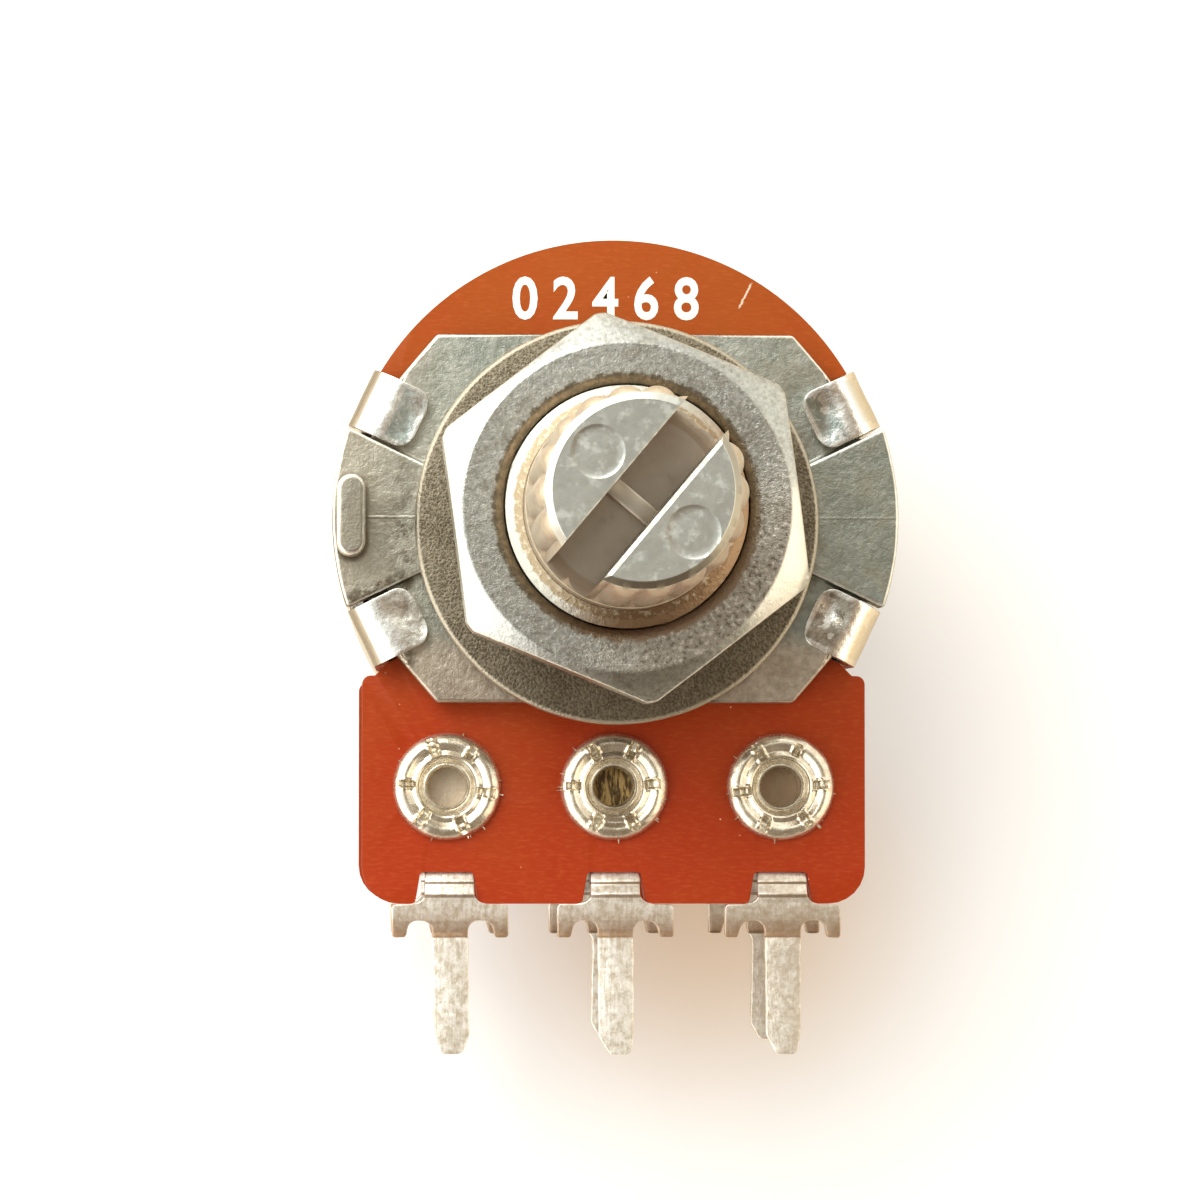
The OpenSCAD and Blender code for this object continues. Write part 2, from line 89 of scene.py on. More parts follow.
def outline(corners, steps=5):
    """Turns (x, y, radius) corners into the points of a line with rounded corners."""
    points = []
    count = len(corners)
    for index, (x, y, radius) in enumerate(corners):
        here = Vector((x, y))
        if radius <= 0:
            points.append(here)
            continue
        before = Vector(corners[index - 1][:2]) - here
        after = Vector(corners[(index + 1) % count][:2]) - here
        half = before.angle(after) / 2
        centre = here + (before.normalized() + after.normalized()).normalized() * radius / math.sin(half)
        first = here + before.normalized() * radius / math.tan(half) - centre
        last = here + after.normalized() * radius / math.tan(half) - centre
        turn = first.angle_signed(last)
        # a very tight corner is left as one slanting line
        cuts = steps if radius > 0.09 else 1
        for step in range(cuts + 1):
            angle = -turn * step / cuts
            points.append(centre + Matrix.Rotation(angle, 2) @ first)
    return points


def arc(x, y, radius, start, end, steps):
    """Points (x, y, 0) along an arc, with its angles in degrees."""
    angles = [math.radians(start + (end - start) * step / steps) for step in range(steps + 1)]
    return [(x + radius * math.cos(a), y + radius * math.sin(a), 0) for a in angles]


def loop_of(bm, points, height):
    verts = [bm.verts.new((point[0], point[1], height)) for point in points]
    return [bm.edges.new(pair) for pair in zip(verts, verts[1:] + verts[:1])]


def whole_of(bm):
    return list(bm.verts) + list(bm.edges) + list(bm.faces)


def flattened(bm):
    """Makes one face of every flat area."""
    bmesh.ops.dissolve_limit(bm, angle_limit=math.radians(0.5), use_dissolve_boundaries=False,
                             verts=bm.verts, edges=bm.edges, delimit={"NORMAL"})
    return bm


def plate(points, low, high, holes=()):
    """A flat sheet between two heights, with round holes given as (x, y, radius)."""
    bm = bmesh.new()
    edges = loop_of(bm, points, low)
    for x, y, radius in holes:
        edges += loop_of(bm, arc(x, y, radius, 0, 360, 48)[:-1], low)
    bmesh.ops.triangle_fill(bm, use_beauty=True, use_dissolve=False, edges=edges, normal=(0, 0, 1))
    raised = bmesh.ops.extrude_face_region(bm, geom=list(bm.faces))["geom"]
    moved = [item for item in raised if isinstance(item, bmesh.types.BMVert)]
    bmesh.ops.translate(bm, verts=moved, vec=(0, 0, high - low))
    bmesh.ops.recalc_face_normals(bm, faces=bm.faces)
    return bm if holes else flattened(bm)


def disc(radius, low, high, steps=128):
    bm = bmesh.new()
    bmesh.ops.create_cone(bm, cap_ends=True, segments=steps, radius1=radius, radius2=radius,
                          depth=high - low, matrix=Matrix.Translation((0, 0, (low + high) / 2)))
    return bm


def lathe(points, steps=96, closed=True, centre=(0, 0)):
    """Turns a profile of (radius, height) points about an upright line."""
    bm = bmesh.new()
    verts = [bm.verts.new((radius, 0, height)) for radius, height in points]
    pairs = list(zip(verts, verts[1:])) + ([(verts[-1], verts[0])] if closed else [])
    edges = [bm.edges.new(pair) for pair in pairs]
    bmesh.ops.spin(bm, geom=verts + edges, cent=(0, 0, 0), axis=(0, 0, 1), dvec=(0, 0, 0),
                   angle=FULL_TURN, steps=steps, use_merge=True, use_duplicate=False)
    bmesh.ops.remove_doubles(bm, verts=bm.verts, dist=1e-4)
    bmesh.ops.recalc_face_normals(bm, faces=bm.faces)
    bmesh.ops.translate(bm, verts=bm.verts, vec=(centre[0], centre[1], 0))
    return bm


def joined(*shapes):
    """Puts shells that stay separate into one mesh."""
    whole = bmesh.new()
    for shape in shapes:
        mesh = bpy.data.meshes.new("shell")
        shape.to_mesh(mesh)
        shape.free()
        whole.from_mesh(mesh)
        bpy.data.meshes.remove(mesh)
    return whole


def combined(base, tool, operation):
    """Joins, cuts or keeps the common part of two closed shapes."""
    parts = []
    for shape in (base, tool):
        mesh = bpy.data.meshes.new("stock")
        shape.to_mesh(mesh)
        shape.free()
        parts.append(placed("stock", mesh))
    change = parts[0].modifiers.new("change", "BOOLEAN")
    change.operation = operation
    change.solver = "EXACT"
    change.object = parts[1]
    bm = shape_of(parts[0])
    for part in parts:
        mesh = part.data
        bpy.data.objects.remove(part)
        bpy.data.meshes.remove(mesh)
    bmesh.ops.remove_doubles(bm, verts=bm.verts, dist=1e-4)
    return flattened(bm)


def round_edges(bm, width, segments=2, sharper=30, where=lambda edge: True, merge=0.0):
    """Rounds every edge that is sharper than an angle in degrees."""
    if merge:
        bmesh.ops.remove_doubles(bm, verts=bm.verts, dist=merge)
        bmesh.ops.dissolve_degenerate(bm, dist=1e-3, edges=bm.edges)
    limit = math.radians(sharper)
    edges = [edge for edge in bm.edges
             if len(edge.link_faces) == 2 and edge.calc_face_angle() > limit and where(edge)]
    bmesh.ops.bevel(bm, geom=edges, offset=width, offset_type="OFFSET", segments=segments,
                    profile=0.5, affect="EDGES", clamp_overlap=not merge, material=-1, loop_slide=True)
    return bm


def sliced(bm, point, normal):
    """Cuts a closed shape at a plane, keeps the side behind it and closes the cut."""
    made = bmesh.ops.bisect_plane(bm, geom=whole_of(bm), dist=1e-5, plane_co=point, plane_no=normal,
                                  clear_outer=True, clear_inner=False)["geom_cut"]
    edges = [item for item in made if isinstance(item, bmesh.types.BMEdge)]
    bmesh.ops.holes_fill(bm, edges=edges, sides=0)
    return bm


def nudged(bm, amount, size, seed):
    """Moves the surface a little, so that it isn't perfectly true."""
    shift = Vector((seed * 7.3, seed * 3.1, seed * 5.7))
    for vert in bm.verts:
        vert.co += noise.noise_vector(vert.co / size + shift) * amount
    return bm


def make_piece(name, bm, body, finish, replaces=(), sharp=35):
    """Turns a shape in millimetres into a finished piece that rides on a body."""
    bmesh.ops.transform(bm, matrix=Matrix.Scale(MM, 4), verts=bm.verts)
    mesh = bpy.data.meshes.new(name)
    bm.to_mesh(mesh)
    bm.free()
    mesh.polygons.foreach_set("use_smooth", [True] * len(mesh.polygons))
    mesh.set_sharp_from_angle(angle=math.radians(sharp))
    mesh.materials.append(finish)
    piece = placed(name, mesh)
    even = piece.modifiers.new("even shading", "WEIGHTED_NORMAL")
    even.keep_sharp = True
    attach(piece, body)
    if replaces:
        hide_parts(*replaces)


# ---------------------------------------------------------------- sizes, in millimetres

WAFER_LOW, WAFER_HIGH = mm_box("front_wafer")
WAFER_FRONT, WAFER_BACK = WAFER_HIGH.z, WAFER_LOW.z
ROW_PITCH = WAFER_FRONT - mm_box("rear_wafer")[1].z
HOUSING_LOW, HOUSING_HIGH = mm_box("front_housing")
WING_R, PLATE_HALF, BUSHING_TOP = HOUSING_HIGH
WASHER_Y = sum(corner.y for corner in mm_box("washer")) / 2
BOSS_END = HOUSING_LOW.z
NUT_LOW, NUT_TOP = [corner.z for corner in mm_box("hex_nut")]
TAIL, TIP = [corner.z for corner in mm_box("shaft")]
BACK = mm_box("rear_cover")[0].z
COVER_R = mm_box("rear_cover")[1].x
COVER_FRONT = WAFER_BACK - ROW_PITCH
EYELET_Y = sum(corner.y for corner in mm_box("front_eyelet_middle")) / 2
TERMINAL_X = sum(corner.x for corner in mm_box("front_eyelet_right")) / 2
PIN_END = mm_box("front_terminal_middle")[0].y
PLACES = {"left": -TERMINAL_X, "middle": 0.0, "right": TERMINAL_X}

# the plate: its raised areas, the flats where the straps lie, its cut corners, and the bore
RAISED, RAISED_R = 0.45, 5.5
SEAT_R = 7.62
CORNER_ANGLE = 40.6
CHANNEL_ROOM = 0.1
BORE_R, BORE_TOP_R, BOSS_R = 3.005, 3.03, 4.0
LUG_X, LUG_R, LUG_RUN, LUG_TOP = -7.9, 0.42, 0.78, 1.6

# the cover's sheet, and the straps: their direction, how far out they stand and half their width
COVER_WALL = 0.45
STRAP_ANGLE = 25.5
STRAP_R = 8.40
STRAP_HALF = 0.92
STRAP_TURNS = {"upper_right": STRAP_ANGLE, "upper_left": 180 - STRAP_ANGLE,
               "lower_left": 180 + STRAP_ANGLE, "lower_right": -STRAP_ANGLE}

# the shaft
SLOT_FLOOR = TIP - 6.5
SLOT_ANGLE = 50
SLOT_HALF = 0.725
KNURL_START = TIP - 7


# ---------------------------------------------------------------- finishes

def colour(red, green, blue):
    """A colour from its values on a screen, 0 to 255."""
    parts = (red / 255, green / 255, blue / 255)
    return tuple(p / 12.92 if p <= 0.04045 else ((p + 0.055) / 1.055) ** 2.4 for p in parts)


def sum_of(operation, swapped=False):
    """A method that adds one Math node."""
    def method(self, other=0.0):
        first, second = (other, self) if swapped else (self, other)
        return self.finish.node("ShaderNodeMath", {"operation": operation}, {0: first, 1: second})
    return method


class Value:
    """A number in a finish that can be used in sums."""

    def __init__(self, finish, socket):
        self.finish = finish
        self.socket = socket

    __add__, __radd__ = sum_of("ADD"), sum_of("ADD", swapped=True)
    __sub__, __rsub__ = sum_of("SUBTRACT"), sum_of("SUBTRACT", swapped=True)
    __mul__, __rmul__ = sum_of("MULTIPLY"), sum_of("MULTIPLY", swapped=True)
    __truediv__, __pow__ = sum_of("DIVIDE"), sum_of("POWER")
    __abs__, largest = sum_of("ABSOLUTE"), sum_of("MAXIMUM")

    def above(self, low, high):
        """0 below the low value, 1 above the high one, and smooth in between."""
        settings = {"interpolation_type": "SMOOTHSTEP"}
        return self.finish.node("ShaderNodeMapRange", settings, {0: self, 1: low, 2: high})

    def below(self, low, high):
        return 1 - self.above(low, high)


class Nodes:
    """A tree of shader nodes."""

    def __init__(self, tree):
        self.tree = tree

    def node(self, kind, settings=None, values=None, output=0):
        made = self.tree.nodes.new(kind)
        for name, setting in (settings or {}).items():
            setattr(made, name, setting)
        for name, value in (values or {}).items():
            self.put(made.inputs[name], value)
        return Value(self, made.outputs[output])

    def put(self, socket, value):
        if isinstance(value, Value):
            self.tree.links.new(value.socket, socket)
        elif hasattr(value, "__len__") and len(value) == 3 and socket.type == "RGBA":
            socket.default_value = (*value, 1)
        else:
            socket.default_value = value

    def axes(self, vector):
        split = self.node("ShaderNodeSeparateXYZ", {}, {0: vector})
        return [Value(self, split.socket.node.outputs[axis]) for axis in "XYZ"]

    def mix(self, amount, first, second):
        """A colour between two colours."""
        return self.node("ShaderNodeMix", {"data_type": "RGBA"}, {0: amount, 6: first, 7: second}, output=2)


class Finish(Nodes):
    """A material that is built from nodes, with places in millimetres."""

    def __init__(self, name):
        self.material = bpy.data.materials.new(name)
        self.material.use_nodes = True
        super().__init__(self.material.node_tree)
        where = self.node("ShaderNodeTexCoord", output="Object")
        self.place = self.node("ShaderNodeVectorMath", {"operation": "SCALE"}, {0: where, 3: 1 / MM})
        self.x, self.y, self.z = self.axes(self.place)

    def away(self, y=0):
        """The distance from an upright line at x 0."""
        north = self.y - y if y else self.y
        return (self.x * self.x + north * north) ** 0.5

    def grain(self, scale, detail=3, roughness=0.5, place=None, distortion=0.0):
        """Soft noise with a number of features per millimetre."""
        values = {"Vector": place or self.place, "Scale": scale, "Detail": detail,
                  "Roughness": roughness, "Distortion": distortion}
        return self.node("ShaderNodeTexNoise", {}, values)

    def grains(self, *kinds):
        return [self.grain(*kind) for kind in kinds]

    def cells(self, scale):
        """The distance from the nearest of many scattered points."""
        return self.node("ShaderNodeTexVoronoi", {"feature": "F1"}, {"Vector": self.place, "Scale": scale})

    def stretched(self, x, y, z, turn=0.0):
        return self.node("ShaderNodeMapping", {},
                         {"Vector": self.place, "Scale": (x, y, z), "Rotation": (0, 0, math.radians(turn))})

    def blend(self, amount, *tints):
        """A colour between two, which are given as values on a screen or as nodes."""
        return self.mix(amount, *[tint if isinstance(tint, Value) else colour(*tint) for tint in tints])

    def coated(self, base, *coats):
        """Lays coats, each an amount and a colour, one over another."""
        for amount, tint in coats:
            base = self.blend(amount, base, tint)
        return base

    def done(self, base, rough, layers=(), metal=0.0, **others):
        """Sets the surface and gives the material. The layers are heights from 0 to 1 and depths in mm."""
        values = {"Base Color": base, "Roughness": rough, "Metallic": metal}
        for height, depth in layers:
            under = {"Normal": values["Normal"]} if "Normal" in values else {}
            values["Normal"] = self.node("ShaderNodeBump", {}, {
                "Height": height, "Strength": 1.0, "Distance": depth * MM, **under})
        for name, value in others.items():
            values[name.replace("_", " ")] = value
        for name, value in values.items():
            self.put(self.tree.nodes["Principled BSDF"].inputs[name], value)
        return self.material


def cast_zinc():
    f = Finish("cast zinc")
    cloud, mottle, small, fine = f.grains((0.9, 4, 0.6), (5, 4, 0.65), (11, 3, 0.6), (22, 2, 0.5))
    tone = (cloud * 0.5 + mottle * 0.5).above(0.36, 0.64)
    spots = f.cells(3.1).below(0.04, 0.12) * mottle.above(0.5, 0.6)
    stain = f.grain(0.7, 5, 0.7).above(0.5, 0.62)
    # dirt and painted shade lie on the left wing beside the washer and along its lower edge, and painted
    # shade lies round the foot of the lug, most on its lower side
    radius = f.away()
    beside = radius.below(6.3, 7.3) * (0.8 - f.y.above(-0.2, 1.4) * 0.5)
    lower_edge = (f.y - f.x * 0.435 - 0.94).below(0.05, 0.5)
    dirt_and_shade = f.grain(2.0, 5, 0.75).above(0.44, 0.56) * f.x.below(-6.2, -5.8)
    ends = (abs(f.y) - (LUG_RUN + 0.015)).largest(0)
    from_lug = ((f.x - LUG_X) * (f.x - LUG_X) + ends * ends) ** 0.5
    foot = from_lug.below(0.46, 0.62) * f.z.below(0.1, 0.4) * (1 - f.y.above(-1.2, 1.5) * 0.5)

    def edge(top, width):
        """The rounded edge just below a flat top."""
        return f.z.above(top - width - 0.02, top - width) * f.z.below(top - 0.02, top - 0.008)

    # painted highlights on the rounded edges just below the flat tops
    painted_edge_highlight = edge(0.0, 0.06).largest(edge(-RAISED, 0.06)).largest(edge(LUG_TOP, 0.12))
    # the mould left a fine line across the wings
    line = abs(f.y + (mottle - 0.5) * 0.05).below(0.015, 0.05) * f.x.above(-7.45, -7.35)
    line = line * abs(f.x).above(5.9, 6.1) * (0.8 - f.x.above(-1, 1) * 0.6)
    base = f.coated(
        f.blend(tone, (154, 159, 149), (188, 190, 180)),
        (spots * 0.6, (226, 226, 220)),
        # painted shade on the right of the plate
        (f.x.above(3, 8) * f.y.above(-4, -3) * 0.35, (126, 130, 118)),
        # painted warm light on the lower part of the plate
        (f.y.below(-4.2, -3.2), f.blend(tone, (172, 158, 142), (206, 194, 178))),
        # painted light on the left of the plate, the window side
        (f.x.below(-8, -4) * 0.6, (204, 192, 172)),
        (stain * 0.35, (124, 108, 88)),
        # dirt and painted shade beside the washer and along the lower edge of the left wing
        (beside.largest(lower_edge) * dirt_and_shade * 0.8, (92, 80, 60)),
        # painted shade round the foot of the lug, most on its lower side
        (foot * 0.75, (96, 82, 60)),
        (f.z.above(1.3, 1.4) * 0.45, (128, 126, 112)),
        # painted highlight on the rounded edges of the upper part
        (painted_edge_highlight * (0.3 + mottle) * f.y.above(-5, -1), (246, 244, 236)),
        # painted shade on the outer sides of the wings
        (f.z.below(-0.10, -0.06) * radius.above(8.25, 8.32) * 0.9, (96, 76, 52)),
        (line * 0.4, (222, 220, 208)))
    return f.done(base, 0.27 + mottle * 0.2 + stain * 0.1,
                  [(cloud, 0.04), (mottle, 0.014), (small, 0.006), (fine, 0.003), (line, 0.02)], 0.92)


def bushing_zinc():
    """Bright on the outer edge of its end and beige inside that, with painted shade that turns it brown at
    the lower right.
    """
    f = Finish("bushing zinc")
    mottle, fine = f.grains((5, 4, 0.65), (16, 3, 0.6))
    # painted shade, stronger towards the lower right
    painted_warm_side = (f.x * 0.8 - f.y * 0.5 + (mottle - 0.5) * 2).above(-0.6, 1.8)
    rim = f.blend(painted_warm_side, (196, 194, 182), (160, 132, 104))
    inner = f.coated(f.blend(painted_warm_side, (160, 144, 118), (140, 114, 88)),
                     (mottle.above(0.52, 0.6) * 0.7, (196, 184, 160)))
    base = f.blend((f.away() + (mottle - 0.5) * 0.3).above(3.24, 3.29), inner, rim)
    return f.done(base, 0.28 + mottle * 0.2, [(mottle, 0.03), (fine, 0.006)], 0.95)


def plated_nut():
    f = Finish("plated nut")
    cloud, wide, mottle, speck, fine, small = f.grains(
        (0.45, 3, 0.5), (1.3, 5, 0.7), (4, 5, 0.7), (7.5, 2, 0.5), (9, 4, 0.7), (14, 3, 0.7))
    # painted glints in scattered dots
    painted_glints = f.cells(4.3).below(0.03, 0.09) * f.grain(2.1, 2).above(0.5, 0.62)
    streak = f.grain(1.0, 3, 0.6, f.stretched(0.7, 9, 4, 35)).above(0.62, 0.72)
    # the lower right of the face is rougher than the rest
    radius = f.away()
    rough = ((f.x - f.y) * 0.7 + (fine - 0.5) * 3).above(1.6, 4.2) * radius.below(4.7, 4.85)
    # painted shade makes the cut corners a little darker, most at the top, and painted highlights make them
    # lighter on the left and on the lower right
    corner = radius.above(4.72, 4.8)
    painted_lower_right_highlight = ((f.x * 0.95 - f.y * 0.31) / radius).above(0.87, 0.94) * radius.below(5.4, 5.6)
    # dirt and painted shade in the mouth of the bore, darker towards the lower right
    dirt_and_shade = f.coated(f.blend(mottle.above(0.4, 0.6), (112, 104, 88), (138, 124, 104)),
                    ((f.x * 0.4 - f.y).above(1, 4), (138, 118, 98)))
    base = f.coated(
        f.blend(fine.above(0.3, 0.7), (172, 174, 168), (200, 200, 192)),
        (rough * 0.6, (146, 132, 118)),
        (wide.above(0.5, 0.62) * 0.4, (134, 126, 112)),
        (speck.above(0.56, 0.64) * (0.25 + rough * 0.5), (100, 92, 80)),
        (speck.below(0.36, 0.42) * (0.3 + rough * 0.3), (220, 216, 206)),
        # painted glints, and light streaks
        (painted_glints.largest(streak * 0.4) * 0.7, (240, 240, 236)),
        # painted shade on the cut corners, most at the top
        (corner * (0.05 + (f.y / radius).above(0.5, 0.95) * 0.2), (116, 116, 112)),
        # painted highlight on the cut corners at the left
        (corner * f.x.below(-4.6, -2.6) * 0.5, (232, 231, 227)),
        # painted highlight on the cut corners at the lower right
        (corner * painted_lower_right_highlight * 0.8, (232, 228, 218)),
        # painted shade on the left of the face
        (f.x.below(-5, -2) * (1 - corner) * 0.14, (104, 94, 80)),
        # dirt and painted shade in the mouth of the bore
        ((radius + (mottle - 0.5) * 0.5).below(3.82, 3.94), dirt_and_shade))
    return f.done(base, 0.25 + rough * 0.15 + fine * 0.08,
                  [(cloud, 0.03), (mottle, 0.018), (fine, 0.005), (small * (0.3 + rough), 0.016)], 1.0)


def grained_steel():
    f = Finish("grained washer steel")
    cloud, coarse, fine = f.grains((0.8, 3), (12, 3, 0.6), (26, 3, 0.6))
    pits = f.cells(13)
    tone = (coarse * 0.6 + pits * 0.6 + (cloud - 0.5) * 0.4).above(0.3, 0.85)
    # painted highlight on the outer edge
    rim = (f.away(WASHER_Y) + (coarse - 0.5) * 0.06).above(5.86, 5.93)
    base = f.coated(f.blend(tone, (93, 83, 67), (140, 131, 113)),
                    # painted shade towards the bottom
                    ((f.x * 0.3 - f.y).above(2, 5) * 0.2, (70, 52, 34)),
                    (rim * 0.6, (206, 198, 180)))
    return f.done(base, 0.36 + fine * 0.18, [(coarse, 0.02), (pits, 0.008), (fine, 0.006)], 1.0)


def phenolic_board(name, light, dark, front):
    """Glossy board with darker cut edges and a short scratch across the head."""
    f = Finish(name)
    cloud, fine = f.grains((0.35, 3, 0.5), (26, 2))
    paper = f.grain(1.0, 4, 0.6, f.stretched(3.5, 14, 6))
    specks = f.cells(1.35).below(0.018, 0.05) * f.grain(0.9, 2).above(0.48, 0.6)
    along = (f.y - 6.75) * 0.5 + (paper - 0.5) * 0.1
    scratch = abs(f.x - 3.95 - along).below(0.015, 0.045) * abs(f.y - 6.75).below(0.3, 0.42)
    base = f.coated(
        f.blend(f.y.above(-11, 8.5) * 0.8 + (cloud - 0.5) * 0.7, dark, light),
        (paper.above(0.45, 0.75) * 0.12, (222, 120, 62)),
        (specks * 0.7, (240, 190, 160)),
        (f.z.below(front - 0.09, front - 0.02) * 0.75, (138, 34, 12)),
        (scratch * 0.75, (250, 226, 204)))
    return f.done(base, 0.36 + paper * 0.14, [(cloud, 0.04), (paper, 0.004), (fine, 0.0015)],
                  Specular_IOR_Level=0.2)


def eyelet_tin():
    """Tin that is bright, a little uneven and brown low down, with small dull spots."""
    f = Finish("eyelet tin")
    cloud, dull, mottle, fine = f.grains((1.3, 3, 0.5), (3.2, 4, 0.7), (6, 4, 0.7), (24, 3, 0.6))
    tone = (cloud * 0.4 + mottle * 0.6).above(0.35, 0.65)
    base = f.coated(f.blend(tone, (208, 196, 174), (240, 232, 214)),
                    (f.z.below(WAFER_FRONT - 1.1, WAFER_FRONT - 0.3) * 0.75, (196, 166, 130)))
    return f.done(base, 0.2 + dull.above(0.5, 0.66) * 0.13 + fine * 0.05,
                  [(cloud, 0.02), (mottle, 0.006), (fine, 0.002)], 0.9)


def cover_tin():
    """The cover and its straps, with painted highlights that make every fold and edge brighter than the
    flat ends, and painted reflections and painted shade on the ends.
    """
    f = Finish("tinned cover")
    cloud, dull, mottle, fine = f.grains((1.1, 3, 0.5), (3.2, 4, 0.7), (5, 4, 0.7), (24, 3, 0.6))
    tone = (cloud * 0.5 + mottle * 0.5).above(0.38, 0.62)
    painted_cool_side = f.blend(tone, (176, 188, 182), (226, 234, 230))
    painted_warm_side = f.blend(tone, (164, 150, 134), (222, 212, 198))
    # painted highlights lie where a strap's fold starts, in a rim round the end and in patches
    out = direction(STRAP_ANGLE)
    along = abs(f.x) * out.x + abs(f.y) * out.y
    across = abs(abs(f.y) * out.x - abs(f.x) * out.y)
    front, right, left, low = f.z.above(-1.4, -1.0), f.x.above(-1, 1), f.x.below(-1, 1), f.y.below(-1, 1)
    fold_highlight = (along - right * low * 0.22).above(7.2, 7.4) * (1 - along.above(7.85, 7.95) * right)
    rim = across.above(0.72, 0.80).largest(along.below(6.56, 6.66))
    highlight_patch = f.grain(1.5, 3, 0.6, distortion=0.6).above(0.55, 0.58)
    base = f.coated(
        # painted reflections: the tabs' faces are cool above and warm below
        f.blend((f.y + (cloud - 0.5) * 2).above(-1.5, 1.5), painted_warm_side, painted_cool_side),
        # painted shade on the right
        (f.x.above(2, 5) * 0.3, (110, 110, 98)),
        # below the faces of the tabs the tin is lighter; on the folds this is a painted highlight
        (f.z.below(-0.11, -0.06) * 0.85, (224, 222, 212)),
        # painted highlight on the lower left strap
        (front * left * low * (0.35 + tone * 0.6), (255, 252, 242)),
        # painted highlights on the folds, the rims and in patches
        (front * fold_highlight.largest(rim * 0.8).largest(highlight_patch * 0.8), (252, 250, 244)),
        # painted shade on the outer side of the left straps' folds
        (front * left * along.above(8.1, 8.2) * 0.8, (122, 106, 80)),
        # painted reflection of the beige floor on the outer side of the right straps' folds
        (front * right * along.above(7.9, 8.1) * 0.7, (196, 180, 152)))
    return f.done(base, 0.18 + dull.above(0.5, 0.66) * 0.12 + fine * 0.05,
                  [(cloud, 0.05), (mottle, 0.012), (fine, 0.002)], 1.0)


def shaft_metal():
    """Pressed metal: clean on the top, with a painted beige reflection of the floor down the side that is
    darker low down, and brown in the slot.
    """
    f = Finish("pressed shaft metal")
    cloud, dull, mottle, fine = f.grains((0.8, 3, 0.5), (2, 4, 0.7), (3.6, 4, 0.7), (24, 3, 0.6))
    radius = f.away()
    side = radius.above(2.68, 2.76)
    # painted reflection of the beige floor down the side, with painted shade low down
    painted_floor_reflection = f.coated(f.blend((f.y - f.x * 0.3).above(-3, 1), (160, 138, 116), (200, 186, 166)),
                     (mottle.above(0.45, 0.6) * 0.5, (162, 144, 122)))
    # painted shade darkens the cut edge of the tip everywhere but on the upper left, so it is bright there
    # only
    tip_edge_shade = ((f.y * 0.73 - f.x * 0.68) / radius).below(0.25, 0.5)
    slot = f.z.below(SLOT_FLOOR + 0.6, SLOT_FLOOR + 4) * radius.below(2.8, 2.95)
    # the slot's lip is marked here and there, and a painted highlight lies on the web across the slot
    run = direction(SLOT_ANGLE)
    across = abs(f.x * run.y - f.y * run.x)
    lip = across.above(0.70, 0.72) * across.below(0.87, 0.89) * f.z.above(TIP - 0.3, TIP - 0.25)
    beads = f.grain(3.6, 2).below(0.44, 0.54)
    web = abs(f.x * run.x + f.y * run.y).below(0.26, 0.3)
    base = f.coated(
        f.blend((cloud * 0.4 + mottle * 0.6).above(0.35, 0.65), (196, 198, 191), (211, 213, 206)),
        (side * 0.85, painted_floor_reflection),
        # painted shade on the cut edge of the tip
        (radius.above(2.5, 2.55) * (1 - side) * tip_edge_shade * 0.85, (152, 142, 124)),
        (slot * 0.75, (162, 140, 120)),
        (lip * beads * f.z.below(TIP - 0.005, TIP) * 0.6, (150, 148, 140)),
        # painted highlight on the web across the slot
        (web * f.z.above(SLOT_FLOOR + 0.1, SLOT_FLOOR + 0.3) * slot * 0.7, (232, 222, 208)))
    return f.done(base, 0.3 + dull.above(0.5, 0.66) * 0.13 + side * 0.08,
                  [(cloud, 0.008), (mottle, 0.003), (fine, 0.002)], 1.0)


def terminal_tin():
    """Solder-dipped pins, brown on the necks, with scratches down their length."""
    f = Finish("terminal tin")
    cloud, mottle = f.grains((1.1, 3, 0.5), (4.5, 5, 0.75))
    lines = f.grain(1.0, 4, 0.7, f.stretched(9, 1.6, 3))
    neck = (f.y + (mottle - 0.5) * 0.3).below(-12.5, -11.3) * f.y.above(-12.52, -12.48)
    # painted shade lies in the steps at the notch; inside the rivets the pads are beige on the left, brown
    # streaked with gold in the middle and brown on the right
    wavy = f.y + (mottle - 0.5) * 0.04
    steps = [(abs(wavy - place).below(half, half + 0.03) * 0.75, (122, 88, 52))
             for place, half in ((-10.47, 0.05), (-10.88, 0.025), (-11.27, 0.035))]
    streaked_brown = f.blend(lines.above(0.45, 0.6), (84, 64, 34), (190, 160, 104))
    inside = f.blend(f.x.above(-4, -3), (206, 190, 168), f.blend(f.x.above(3, 4), streaked_brown, (162, 138, 112)))
    base = f.coated(
        f.blend((mottle * 0.6 + lines * 0.4).above(0.38, 0.6), (206, 194, 174), (250, 246, 238)),
        (neck * 0.8, (168, 132, 98)),
        (f.x.above(1, 5) * lines.above(0.4, 0.6) * 0.5, (176, 152, 122)),
        # painted shade in the steps
        *steps,
        (f.y.above(-9.2, -9.0), inside))
    return f.done(base, 0.24 + mottle * 0.16, [(cloud, 0.03), (mottle, 0.02), (lines, 0.012)], 0.55)


def dark_plastic():
    f = Finish("black moulded plastic")
    cloud, spark = f.grains((0.8, 3), (16, 3, 0.6))
    scuffs = f.grain(1.0, 3, 0.6, f.stretched(1.2, 1.2, 9)).above(0.66, 0.74)
    base = f.coated(f.blend(cloud.above(0.3, 0.7), (30, 30, 31), (47, 46, 45)),
                    (scuffs * 0.3, (96, 94, 90)))
    return f.done(base, 0.44 + cloud * 0.12, [(cloud, 0.03), (spark, 0.004)])


